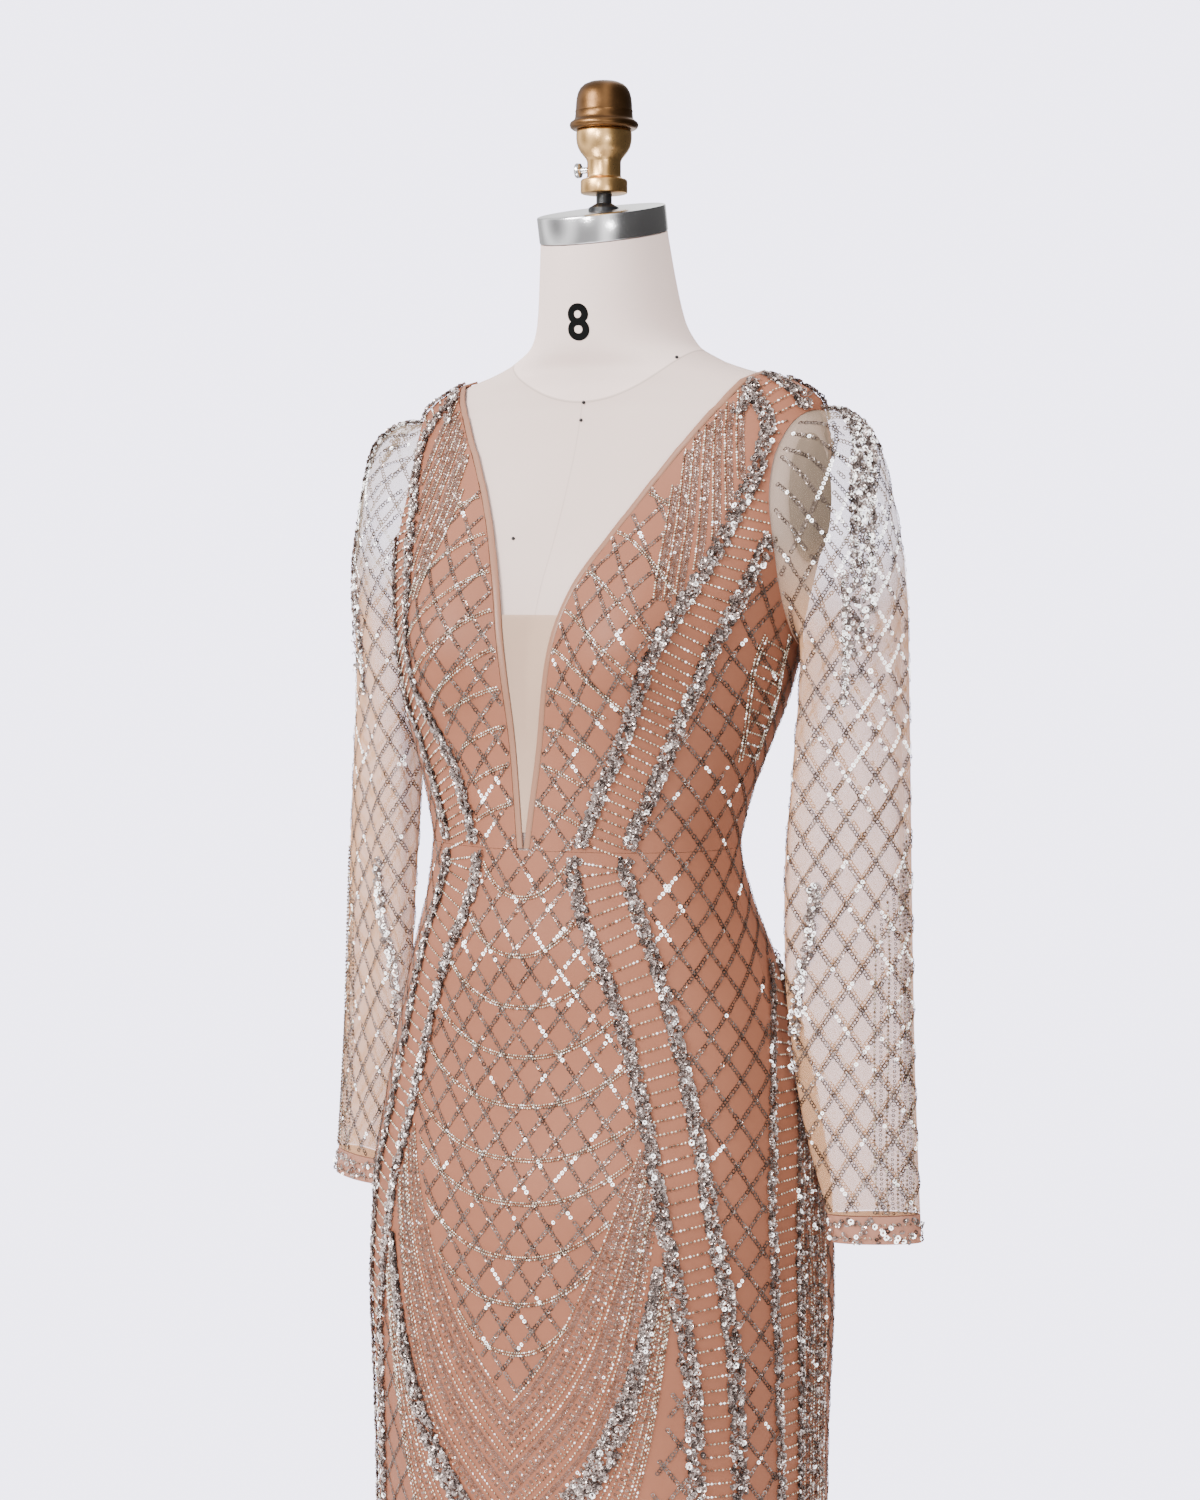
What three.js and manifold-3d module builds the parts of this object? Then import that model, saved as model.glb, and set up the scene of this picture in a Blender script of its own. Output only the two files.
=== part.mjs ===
// A floor-length evening gown with long net sleeves and a plunging V neck, on its limbless dress form.
// Millimetres, +Z up, origin on the floor under the form's pole, front of the gown towards -Y.
// The wearer's left is +X. The gown is a set of thin walls; nothing fills the sleeves or the skirt.
import * as THREE from 'three';
import { mergeVertices } from 'three/addons/utils/BufferGeometryUtils.js';
import Module from 'manifold-3d';

const wasm = await Module();
wasm.setup();

// Driving dimensions of the cloth
const WALL = 2.0;              // bodice and skirt: net, beading and backing together
const SLEEVE_WALL = 1.2;       // single net with beading
const INSERT_WALL = 1.0;       // fine mesh in the foot of the neckline
const EASE = 1.2;              // air between the form and the cloth
const SEAM = 0.3;              // gap between pieces that are sewn to each other
const BINDING_WIDTH = 5.5;     // folded edge along the neckline
const BINDING_PROUD = 0.5;     // how far the folded edge stands off the panel
const BAND_HALF_WIDTH = 6.5;   // dense sequin bands
const BAND_PROUD = 1.3;

// Heights above the floor
const HEM_Z = 14;
const WAIST_Z = 1050;
const NECK_POINT_Z = 1436;     // where the neckline crosses the shoulder
const SHELL_TOP_Z = 1446;
const INSERT_TOP_Z = 1238;
const INSERT_FOOT_Z = 1064;

// Columns of cloth round the back, and round a wall with no bands
const BACK_COLUMNS = 16;
const PLAIN_COLUMNS = 40;

// Hem flutes, below the knee
const FLUTES = 8;
const FLUTE_DEPTH = 9;
const FLUTE_TOP_Z = 430;

// Bust: two soft mounds of the cut, added to the sections' front
const BUST = { apart: 88, height: 1212, depth: 30, across: 58, above: 78, below: 62 };

// Dress form and stand
const FORM_FOOT_Z = 712;
const NECK_TOP_Z = 1548;
const NECK_TILT = THREE.MathUtils.degToRad(12.3);
const TILT_FROM_Z = 1480;
const ARM_PLATE = { x: 182, thick: 2.2, y: 17, z: 1332, halfWidth: 36, halfHeight: 52 };
const CAP = { radius: 53.5, height: 22, bevel: 1.2 };
const COLLAR = { radius: 13, top: 7.5, height: 5 };
const POLE_RADIUS = 6.5;
const FINIAL_FOOT_Z = 1584;
const STAND_POLE_RADIUS = 14;
const BASE = { radius: 180, thick: 12, bossRadius: 34, bossHeight: 36 };

// The gown's outer surface. z: height; half: half width; front, back: y at the centre front and back;
// side: y of the widest point, where the side seam runs; square: 2 is an ellipse, more is boxier.
const SECTIONS = [
  { z: 14, half: 258, front: -234, back: 234, side: -4, square: 2.0 },
  { z: 140, half: 232, front: -206, back: 200, side: -6, square: 2.0 },
  { z: 300, half: 208, front: -174, back: 168, side: -6, square: 2.0 },
  { z: 430, half: 198, front: -158, back: 150, side: -7, square: 2.05 },
  { z: 560, half: 199, front: -157, back: 147, side: -8, square: 2.1 },
  { z: 680, half: 203, front: -157, back: 147, side: -8, square: 2.15 },
  { z: 760, half: 201, front: -154, back: 143, side: -9, square: 2.15 },
  { z: 830, half: 191, front: -142, back: 137, side: -10, square: 2.15 },
  { z: 900, half: 175, front: -136, back: 124, side: -14, square: 2.15 },
  { z: 960, half: 157, front: -137, back: 102, side: -19, square: 2.1 },
  { z: 1010, half: 142, front: -130, back: 76, side: -25, square: 2.1 },
  { z: 1050, half: 136, front: -126, back: 60, side: -28, square: 2.1 },
  { z: 1085, half: 143, front: -124, back: 66, side: -28, square: 2.1 },
  { z: 1130, half: 158, front: -121, back: 80, side: -25, square: 2.15 },
  { z: 1175, half: 174, front: -119, back: 88, side: -20, square: 2.2 },
  { z: 1215, half: 182, front: -114, back: 93, side: -15, square: 2.3 },
  { z: 1260, half: 187, front: -100, back: 95, side: -6, square: 2.6 },
  { z: 1300, half: 190, front: -80, back: 97, side: 4, square: 3.0 },
  { z: 1340, half: 192, front: -62, back: 97, side: 12, square: 3.0 },
  { z: 1375, half: 193, front: -48, back: 95, side: 17, square: 2.7 },
  { z: 1398, half: 191, front: -41, back: 92, side: 20, square: 2.2 },
  { z: 1412, half: 188, front: -38, back: 90, side: 22, square: 1.9 },
  { z: 1424, half: 170, front: -38, back: 88, side: 22, square: 1.75 },
  { z: 1436, half: 138, front: -40, back: 87, side: 21, square: 1.75 },
  { z: 1448, half: 94, front: -43, back: 86, side: 20, square: 1.9 },
  { z: 1460, half: 72, front: -47, back: 84, side: 18, square: 2.0 },
  { z: 1480, half: 62, front: -50, back: 75, side: 12, square: 2.0 },
  { z: 1510, half: 57, front: -52, back: 64, side: 6, square: 2.0 },
  { z: 1548, half: 53, front: -53, back: 53, side: 0, square: 2.0 },
];

// The two dense bands on each side of the front, repeated on the back: degrees round from the centre.
const BANDS = [
  { z: 14, inner: 55, outer: 66 },
  { z: 545, inner: 56, outer: 66.5 },
  { z: 620, inner: 55, outer: 65.5 },
  { z: 700, inner: 51.5, outer: 62.7 },
  { z: 764, inner: 48, outer: 59.8 },
  { z: 862, inner: 44.3, outer: 57.2 },
  { z: 936, inner: 38, outer: 54 },
  { z: 1010, inner: 27.5, outer: 48.5 },
  { z: 1036, inner: 25.5, outer: 46.5 },
  { z: 1060, inner: 29.5, outer: 49 },
  { z: 1096, inner: 37, outer: 55.5 },
  { z: 1154, inner: 48.5, outer: 62 },
  { z: 1210, inner: 55, outer: 67 },
  { z: 1265, inner: 61.5, outer: 72 },
  { z: 1325, inner: 69, outer: 78 },
  { z: 1373, inner: 75, outer: 84 },
  { z: 1396, inner: 77, outer: 85 },
  { z: 1446, inner: 77, outer: 85 },
];

// Half width of the V neckline at each height, and how low the back neckline lies at each half width
const NECKLINE = [
  { z: 1051, half: 0.4 },
  { z: 1080, half: 3.6 },
  { z: 1121, half: 8.5 },
  { z: 1168, half: 14 },
  { z: 1200, half: 18.5 },
  { z: 1238, half: 26.5 },
  { z: 1265, half: 35.5 },
  { z: 1296, half: 51 },
  { z: 1330, half: 70 },
  { z: 1366, half: 92 },
  { z: 1400, half: 115 },
  { z: 1436, half: 140 },
];
const BACK_NECKLINE = [
  { half: 0, z: 1398 },
  { half: 45, z: 1400 },
  { half: 85, z: 1408 },
  { half: 118, z: 1422 },
  { half: 140, z: 1436 },
];

// Armhole: an egg seen from the side
const ARMHOLE = { y: 15, z: 1307, halfDepth: 56, halfHeight: 95, taper: 0.12 };

// Left sleeve, from the first ring off the armhole to the cuff's edge. Each section is a flattened ring
// between its outer end (or top) and its inner end (or underarm), half as deep as `deep`.
const SLEEVE = [
  { xo: 212, yo: 18, zo: 1400, xi: 187, yi: 14, zi: 1207, deep: 57 },
  { xo: 229, yo: 20, zo: 1388, xi: 189, yi: 12, zi: 1200, deep: 56 },
  { xo: 240, yo: 22, zo: 1368, xi: 189, yi: 10, zi: 1191, deep: 53 },
  { xo: 250, yo: 24, zo: 1330, xi: 188, yi: 5, zi: 1176, deep: 47 },
  { xo: 258, yo: 26, zo: 1288, xi: 186, yi: -1, zi: 1154, deep: 40 },
  { xo: 262, yo: 28, zo: 1240, xi: 184, yi: -9, zi: 1126, deep: 33 },
  { xo: 264, yo: 28, zo: 1180, xi: 182, yi: -15, zi: 1094, deep: 27 },
  { xo: 267, yo: 26, zo: 1110, xi: 181, yi: -20, zi: 1050, deep: 23 },
  { xo: 270, yo: 24, zo: 1040, xi: 182, yi: -23, zi: 1000, deep: 20 },
  { xo: 273, yo: 23, zo: 970, xi: 184, yi: -24, zi: 945, deep: 18 },
  { xo: 276, yo: 22, zo: 900, xi: 190, yi: -22, zi: 885, deep: 16 },
  { xo: 280, yo: 20, zo: 830, xi: 200, yi: -18, zi: 824, deep: 14.5 },
  { xo: 284, yo: 17, zo: 762, xi: 216, yi: -13, zi: 760, deep: 13 },
];
const CUFF = [
  { xo: 284.2, yo: 17, zo: 761.5, xi: 216, yi: -13, zi: 759.5, deep: 13 },
  { xo: 286, yo: 15, zo: 739, xi: 219.5, yi: -12, zi: 737, deep: 12 },
];

// Brass finial, as radius and height above its foot
const FINIAL_CUP = [[5, 0], [18.6, 0], [19.4, 1], [19.4, 11], [18.6, 12.2], [14, 13.2], [14, 26.5], [17.5, 31],
  [21.5, 37.5], [23, 45], [23, 51.8], [5, 51.8]];
const FINIAL_DOME = [[0, 52.2], [24, 52.2], [27.4, 53.4], [28.4, 56], [27.4, 58.6], [24.4, 60.4], [23.4, 70],
  [21.8, 80], [18.4, 87], [11.5, 91.2], [0, 92.4]];
const SCREW = { z: 1604, shankRadius: 2.6, shankLength: 6, headRadius: 6.2, headLength: 4.5, turn: 190 };

const material = (name, color, roughness, metalness = 0) => {
  const finish = new THREE.MeshStandardMaterial({ color, roughness, metalness });
  finish.name = name;
  return finish;
};
const FINISH = {
  gown: material('beaded_net', 0xc79b86, 0.6),
  skirt: material('beaded_net_skirt', 0xbf9078, 0.6),
  sleeve: material('sleeve_net', 0xe6dacf, 0.5),
  cuff: material('cuff_satin', 0xc99a88, 0.5),
  binding: material('binding_satin', 0xd39f80, 0.45),
  insert: material('insert_mesh', 0xddd2c2, 0.6),
  form: material('form_linen', 0xe4dcd4, 0.9),
  plate: material('arm_plate', 0xb9aa9b, 0.7),
  steel: material('cap_steel', 0xb4b6b8, 0.25, 1),
  black: material('black_steel', 0x1c1c1e, 0.4, 0.8),
  brass: material('aged_brass', 0xa98046, 0.5, 0.8),
  base: material('stand_iron', 0x2a2a2c, 0.6, 0.6),
};

// Monotone cubic through a table's rows: the curve has no humps that the rows don't have.
function curveOf(table, key, column) {
  const x = table.map((row) => row[key]);
  const y = table.map((row) => row[column]);
  const last = x.length - 1;
  const slope = x.slice(1).map((value, i) => (y[i + 1] - y[i]) / (value - x[i]));
  const tangent = y.map((_, i) => {
    if (i === 0) return slope[0];
    if (i === last) return slope[last - 1];
    if (slope[i - 1] * slope[i] <= 0) return 0;
    const before = x[i] - x[i - 1];
    const after = x[i + 1] - x[i];
    const w1 = 2 * after + before;
    const w2 = after + 2 * before;
    return (w1 + w2) / (w1 / slope[i - 1] + w2 / slope[i]);
  });
  return (at) => {
    const value = THREE.MathUtils.clamp(at, x[0], x[last]);
    let i = 0;
    while (i < last - 1 && value > x[i + 1]) i += 1;
    const step = x[i + 1] - x[i];
    const t = (value - x[i]) / step;
    const t2 = t * t;
    const t3 = t2 * t;
    return (2 * t3 - 3 * t2 + 1) * y[i] + (t3 - 2 * t2 + t) * step * tangent[i]
      + (3 * t2 - 2 * t3) * y[i + 1] + (t3 - t2) * step * tangent[i + 1];
  };
}

const body = Object.fromEntries(['half', 'front', 'back', 'side', 'square']
  .map((column) => [column, curveOf(SECTIONS, 'z', column)]));
const band = { inner: curveOf(BANDS, 'z', 'inner'), outer: curveOf(BANDS, 'z', 'outer') };
const necklineHalf = curveOf(NECKLINE, 'z', 'half');

// How far the bust pushes the front forward at a place on it
function bustDepth(x, z, facing) {
  const tall = z > BUST.height ? BUST.above : BUST.below;
  const off = ((Math.abs(x) - BUST.apart) / BUST.across) ** 2 + ((z - BUST.height) / tall) ** 2;
  return BUST.depth * Math.exp(-off) * THREE.MathUtils.clamp(facing * 1.6, 0, 1);
}

// Soft flutes that open towards the hem
function flute(turn, z) {
  const open = THREE.MathUtils.clamp((FLUTE_TOP_Z - z) / (FLUTE_TOP_Z - HEM_Z), 0, 1);
  return FLUTE_DEPTH * open ** 1.6 * Math.cos(FLUTES * turn);
}

// A place on the smooth outer surface; turn runs from the centre front (0) past the left side (a quarter turn).
function surfacePoint(turn, z) {
  const s = Math.sin(turn);
  const c = Math.cos(turn);
  const side = body.side(z);
  const depth = c >= 0 ? side - body.front(z) : body.back(z) - side;
  const n = body.square(z);
  const reach = 1 / ((Math.abs(s) / body.half(z)) ** n + (Math.abs(c) / depth) ** n) ** (1 / n)
    + flute(turn, z);
  const x = reach * s;
  return new THREE.Vector3(x, side - reach * c - bustDepth(x, z, c), z);
}

// The same place moved along the surface's outward normal
function movedPoint(turn, z, out) {
  const du = 0.01;
  const dz = 0.6;
  const along = surfacePoint(turn + du, z).sub(surfacePoint(turn - du, z));
  const up = surfacePoint(turn, z + dz).sub(surfacePoint(turn, z - dz));
  return surfacePoint(turn, z).addScaledVector(along.cross(up).normalize(), out);
}

// Front surface as y over x and z
function frontY(x, z) {
  const side = body.side(z);
  const depth = side - body.front(z);
  const n = body.square(z);
  const y = side - depth * (1 - (Math.abs(x) / body.half(z)) ** n) ** (1 / n);
  return y - bustDepth(x, z, (side - y) / Math.hypot(x, side - y));
}

// Geometry of a stack of equal rings: `loop` joins the last ring to the first, otherwise both ends are capped.
// A wall is its outer rings and then its inner rings in reverse. Both faces are split the same way, and the
// two halves of each ring mirror each other.
function stackRings(rings, loop) {
  const count = rings[0].length;
  const points = rings.flat();
  const faces = [];
  const pairs = loop ? rings.length : rings.length - 1;
  for (let r = 0; r < pairs; r += 1) {
    const a = r * count;
    const b = ((r + 1) % rings.length) * count;
    const onReturn = loop && r >= rings.length / 2;
    for (let i = 0; i < count; i += 1) {
      const j = (i + 1) % count;
      if (onReturn === i < count / 2) faces.push(a + i, a + j, b + i, a + j, b + j, b + i);
      else faces.push(a + i, a + j, b + j, a + i, b + j, b + i);
    }
  }
  if (!loop) {
    [[rings[0], 0, true], [rings[rings.length - 1], (rings.length - 1) * count, false]]
      .forEach(([ring, first, foot]) => {
        const centre = ring.reduce((sum, p) => sum.add(p), new THREE.Vector3()).divideScalar(count);
        const middle = points.push(centre) - 1;
        for (let i = 0; i < count; i += 1) {
          const j = (i + 1) % count;
          faces.push(middle, foot ? first + j : first + i, foot ? first + i : first + j);
        }
      });
  }
  const geometry = new THREE.BufferGeometry().setFromPoints(points);
  geometry.setIndex(faces);
  return geometry;
}

// A manifold solid from a closed geometry, turned the right way out if its volume comes out negative
function solid(source) {
  const bare = source.clone();
  bare.deleteAttribute('normal');
  bare.deleteAttribute('uv');
  const merged = mergeVertices(bare, 1e-4);
  const vertProperties = new Float32Array(merged.attributes.position.array);
  const build = (triVerts) => new wasm.Manifold(new wasm.Mesh({ numProp: 3, vertProperties, triVerts }));
  const faces = new Uint32Array(merged.index.array);
  const made = build(faces);
  if (made.volume() > 0) return made;
  for (let i = 0; i < faces.length; i += 3) [faces[i], faces[i + 1]] = [faces[i + 1], faces[i]];
  return build(faces);
}

const group = new THREE.Group();

function addSolid(name, manifold, finish) {
  const mesh = manifold.getMesh();
  const geometry = new THREE.BufferGeometry();
  geometry.setAttribute('position', new THREE.BufferAttribute(new Float32Array(mesh.vertProperties), 3));
  geometry.setIndex(new THREE.BufferAttribute(new Uint32Array(mesh.triVerts), 1));
  const part = new THREE.Mesh(geometry, finish);
  part.name = name;
  group.add(part);
}

// Regions that cut the shells into panels
// A shape drawn in x and z, run along y
function prismXZ(outline, yFrom, yTo) {
  const shape = new THREE.Shape(outline.map(([x, z]) => new THREE.Vector2(x, z)));
  const geometry = new THREE.ExtrudeGeometry(shape, { depth: yTo - yFrom, bevelEnabled: false });
  geometry.rotateX(Math.PI / 2).translate(0, yTo, 0);
  return solid(geometry);
}

// A shape drawn in y and z, run along x
function prismYZ(outline, xFrom, xTo) {
  const shape = new THREE.Shape(outline.map(([y, z]) => new THREE.Vector2(y, z)));
  const geometry = new THREE.ExtrudeGeometry(shape, { depth: xTo - xFrom, bevelEnabled: false });
  const turned = new THREE.Matrix4().makeBasis(
    new THREE.Vector3(0, 1, 0), new THREE.Vector3(0, 0, 1), new THREE.Vector3(1, 0, 0));
  geometry.applyMatrix4(turned).translate(xFrom, 0, 0);
  return solid(geometry);
}

function boxSolid(x0, x1, y0, y1, z0, z1) {
  const geometry = new THREE.BoxGeometry(x1 - x0, y1 - y0, z1 - z0);
  geometry.translate((x0 + x1) / 2, (y0 + y1) / 2, (z0 + z1) / 2);
  return solid(geometry);
}

const FAR = 420;

// Everything in front of (or behind) the side seams, which follow the widest point up the body
function sideSeamRegion(front) {
  const heights = [0, ...SECTIONS.map((row) => row.z).filter((z) => z <= 1460), 1600];
  const gap = front ? -SEAM / 2 : SEAM / 2;
  const seam = heights.map((z) => [body.side(z) + gap, z]);
  const edge = front ? -FAR : FAR;
  return prismYZ([...seam, [edge, 1600], [edge, 0]], -FAR, FAR);
}

function halfRegion(sign) {
  return sign > 0 ? boxSolid(SEAM / 2, FAR, -FAR, FAR, 0, 1600) : boxSolid(-FAR, -SEAM / 2, -FAR, FAR, 0, 1600);
}

// The V of the front neckline, grown sideways by `grow`
function frontNeckRegion(grow) {
  const rows = [...NECKLINE.map((row) => row.z)];
  const right = rows.map((z) => {
    const rise = (necklineHalf(z + 1) - necklineHalf(z - 1)) / 2;
    const long = Math.hypot(1, rise);
    return [necklineHalf(z) + grow / long, z - grow * rise / long];
  });
  right.push([right[right.length - 1][0] + 40, 1500]);
  const outline = [...right, ...right.map(([x, z]) => [-x, z]).reverse()];
  return prismXZ(outline, -FAR, body.side(NECK_POINT_Z) + 4);
}

function backNeckRegion(grow) {
  const right = BACK_NECKLINE.map(({ half, z }) => [half + (half > 100 ? grow : 0), z - grow]);
  right.push([right[right.length - 1][0] + 40, 1500]);
  const outline = [...right, ...right.slice(1).map(([x, z]) => [-x, z]).reverse()];
  return prismXZ(outline, body.side(NECK_POINT_Z) - 4, FAR);
}

function armholePoint(angle, shrink) {
  const width = (ARMHOLE.halfDepth - shrink) * (1 - ARMHOLE.taper * Math.cos(angle));
  return [ARMHOLE.y - width * Math.sin(angle), ARMHOLE.z + (ARMHOLE.halfHeight - shrink) * Math.cos(angle)];
}

const SLEEVE_POINTS = 18;
const ringAngle = (i) => (i / SLEEVE_POINTS) * 2 * Math.PI;

function armholeRegion(sign) {
  const outline = Array.from({ length: SLEEVE_POINTS }, (_, i) => armholePoint(ringAngle(i), 0));
  return sign > 0 ? prismYZ(outline, 110, FAR) : prismYZ(outline, -FAR, -110);
}

// Columns of the wall round one front quarter: plain cloth, then a raised band, cloth, a raised band, cloth.
// Each is a turn in radians and how far the outer face stands proud.
function quarterColumns(z) {
  const fade = THREE.MathUtils.clamp((1424 - z) / 16, 0, 1);
  const rad = THREE.MathUtils.degToRad;
  const bandColumns = (degrees) => {
    const middle = rad(degrees);
    const reach = Math.hypot(surfacePoint(middle, z).x, surfacePoint(middle, z).y - body.side(z));
    const half = BAND_HALF_WIDTH / reach;
    const shoulder = half * 0.62;
    return [[middle - half, 0], [middle - shoulder, BAND_PROUD * fade],
      [middle + shoulder, BAND_PROUD * fade], [middle + half, 0]];
  };
  const inner = bandColumns(band.inner(z));
  const outer = bandColumns(band.outer(z));
  const spread = (from, to, steps) => Array.from({ length: steps - 1 },
    (_, i) => [from + (to - from) * (i + 1) / steps, 0]);
  return [[0, 0], ...spread(0, inner[0][0], 5), ...inner, ...spread(inner[3][0], outer[0][0], 2),
    ...outer, ...spread(outer[3][0], Math.PI / 2, 2)];
}

// The front's columns on both sides, and even ones round the plain back
function fullColumns(z) {
  const quarter = quarterColumns(z);
  const mirrored = quarter.slice(1).reverse().map(([turn, proud]) => [2 * Math.PI - turn, proud]);
  const back = Array.from({ length: BACK_COLUMNS + 1 },
    (_, i) => [Math.PI / 2 + Math.PI * i / BACK_COLUMNS, 0]);
  return [...quarter, ...back, ...mirrored];
}

// Even columns for a wall with no bands on it
function plainColumns() {
  return Array.from({ length: PLAIN_COLUMNS }, (_, i) => [2 * Math.PI * i / PLAIN_COLUMNS, 0]);
}

// A wall round the body through the given heights, its faces moved out from the smooth surface
function wallAround(heights, outside, inside, columns) {
  const outer = heights.map((z) => columns(z).map(([turn, proud]) => movedPoint(turn, z, outside + proud)));
  const inner = heights.map((z) => columns(z).map(([turn]) => movedPoint(turn, z, inside)));
  return solid(stackRings([...outer, ...inner.reverse()], true));
}

function levelsBetween(from, to, steps) {
  return Array.from({ length: steps + 1 }, (_, i) => from + (to - from) * i / steps);
}

const BODICE_LEVELS = [WAIST_Z + SEAM / 2, 1080, 1115, 1150, 1182, 1212, 1244, 1280, 1318, 1352, 1380, 1398,
  1410, 1420, 1430, SHELL_TOP_Z];
const SKIRT_LEVELS = [HEM_Z, 110, 220, 330, 440, 560, 690, 780, 850, 910, 960, 1005, WAIST_Z - SEAM / 2];

function buildGown() {
  const frontHalf = sideSeamRegion(true);
  const backHalf = sideSeamRegion(false);
  const sides = [['left', 1], ['right', -1]];

  const bodice = wallAround(BODICE_LEVELS, 0, -WALL, fullColumns);
  const edge = wallAround(BODICE_LEVELS, BINDING_PROUD, -WALL, plainColumns);
  const frontOpening = frontNeckRegion(0);
  const frontPanelCut = frontNeckRegion(BINDING_WIDTH + SEAM);
  const frontBindingCut = frontNeckRegion(BINDING_WIDTH);
  const backOpening = backNeckRegion(0);
  const backPanelCut = backNeckRegion(BINDING_WIDTH + SEAM);
  const backBindingCut = backNeckRegion(BINDING_WIDTH);

  sides.forEach(([side, sign]) => {
    const half = halfRegion(sign);
    const armhole = armholeRegion(sign);
    addSolid(`bodice_front_${side}`, bodice.intersect(frontHalf).intersect(half)
      .subtract(frontPanelCut).subtract(armhole), FINISH.gown);
    addSolid(`bodice_back_${side}`, bodice.intersect(backHalf).intersect(half)
      .subtract(backPanelCut).subtract(armhole), FINISH.gown);
    addSolid(`neck_binding_front_${side}`, edge.intersect(frontHalf).intersect(half)
      .intersect(frontBindingCut).subtract(frontOpening), FINISH.binding);
    addSolid(`neck_binding_back_${side}`, edge.intersect(backHalf).intersect(half)
      .intersect(backBindingCut).subtract(backOpening), FINISH.binding);
  });

  const skirt = wallAround(SKIRT_LEVELS, 0, -WALL, fullColumns);
  addSolid('skirt_front', skirt.intersect(frontHalf), FINISH.skirt);
  sides.forEach(([side, sign]) => {
    addSolid(`skirt_back_${side}`, skirt.intersect(backHalf).intersect(halfRegion(sign)), FINISH.skirt);
  });
}

// Mesh that closes the foot of the V, sewn behind its edges
function buildInsert() {
  const across = [-1, -0.5, 0, 0.5, 1];
  const heights = levelsBetween(INSERT_FOOT_Z, INSERT_TOP_Z, 8);
  const rings = heights.map((z) => {
    const half = necklineHalf(z) - SEAM - 0.1;
    const face = across.map((u) => new THREE.Vector3(u * half, frontY(u * half, z) + 0.6, z));
    const rear = across.map((u) => new THREE.Vector3(u * half, frontY(u * half, z) + 0.6 + INSERT_WALL, z));
    return [...face, ...rear.reverse()];
  });
  addSolid('neck_insert', solid(stackRings(rings, false)), FINISH.insert);
}

// A flattened ring between two ends
function sleeveRing(row, thin) {
  const outerEnd = new THREE.Vector3(row.xo, row.yo, row.zo);
  const innerEnd = new THREE.Vector3(row.xi, row.yi, row.zi);
  const centre = outerEnd.clone().add(innerEnd).multiplyScalar(0.5);
  const reach = outerEnd.clone().sub(centre);
  const along = reach.clone().normalize();
  const across = new THREE.Vector3(0, 1, 0).addScaledVector(along, -along.y).normalize();
  const long = reach.length() - thin;
  return Array.from({ length: SLEEVE_POINTS }, (_, i) => {
    const angle = ringAngle(i);
    return centre.clone()
      .addScaledVector(along, long * Math.cos(angle))
      .addScaledVector(across, -(row.deep - thin) * Math.sin(angle));
  });
}

// The sleeve's first ring lies in the armhole, level with the bodice's surface
function armholeRing(shrink, sink) {
  return Array.from({ length: SLEEVE_POINTS }, (_, i) => {
    const [y, z] = armholePoint(ringAngle(i), shrink);
    const side = body.side(z);
    const depth = y < side ? side - body.front(z) : body.back(z) - side;
    const n = body.square(z);
    const x = body.half(z) * (1 - (Math.abs(y - side) / depth) ** n) ** (1 / n);
    return new THREE.Vector3(x - sink, y, z);
  });
}

const mirrorX = (ring) => ring.map((p) => new THREE.Vector3(-p.x, p.y, p.z));

function buildSleeves() {
  const outer = [armholeRing(0.5, 0), ...SLEEVE.map((row) => sleeveRing(row, 0))];
  const inner = [armholeRing(0.5 + SLEEVE_WALL, 0), ...SLEEVE.map((row) => sleeveRing(row, SLEEVE_WALL))];
  const cuffOuter = CUFF.map((row) => sleeveRing(row, 0));
  const cuffInner = CUFF.map((row) => sleeveRing(row, SLEEVE_WALL));
  [['left', (ring) => ring], ['right', mirrorX]].forEach(([side, place]) => {
    const sleeve = [...outer.map(place), ...inner.map(place).reverse()];
    addSolid(`sleeve_${side}`, solid(stackRings(sleeve, true)), FINISH.sleeve);
    const cuff = [...cuffOuter.map(place), ...cuffInner.map(place).reverse()];
    addSolid(`cuff_${side}`, solid(stackRings(cuff, true)), FINISH.cuff);
  });
}

// The form: the body's own sections inside the cloth, its neck top tilted forward
function buildForm() {
  const heights = [FORM_FOOT_Z, 780, 850, 910, 960, 1005, 1050, 1080, 1115, 1150, 1182, 1212, 1244,
    1280, 1318, 1352, 1380, 1398, 1410, 1420, 1430, 1440, 1450, 1462, 1480, 1512, NECK_TOP_Z];
  const inset = -(WALL + EASE);
  const rings = heights.map((z) => fullColumns(z).map(([turn]) => {
    const point = movedPoint(turn, Math.min(z, NECK_TOP_Z - 1), z < 1445 ? inset : -0.5);
    const level = z === FORM_FOOT_Z || z === NECK_TOP_Z ? z : point.z;
    const lean = THREE.MathUtils.clamp((z - TILT_FROM_Z) / (NECK_TOP_Z - TILT_FROM_Z), 0, 1);
    return point.setZ(level + lean * Math.tan(NECK_TILT) * point.y);
  }));
  const flat = ARM_PLATE.x;
  const torso = solid(stackRings(rings, false)).intersect(boxSolid(-flat, flat, -FAR, FAR, 600, 1700));
  addSolid('form_torso', torso, FINISH.form);

  const plate = Array.from({ length: 28 }, (_, i) => {
    const angle = (i / 28) * 2 * Math.PI;
    return [ARM_PLATE.y + ARM_PLATE.halfWidth * Math.sin(angle), ARM_PLATE.z + ARM_PLATE.halfHeight * Math.cos(angle)];
  });
  const start = flat + SEAM;
  addSolid('arm_plate_left', prismYZ(plate, start, start + ARM_PLATE.thick), FINISH.plate);
  addSolid('arm_plate_right', prismYZ(plate, -start - ARM_PLATE.thick, -start), FINISH.plate);
}

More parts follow.
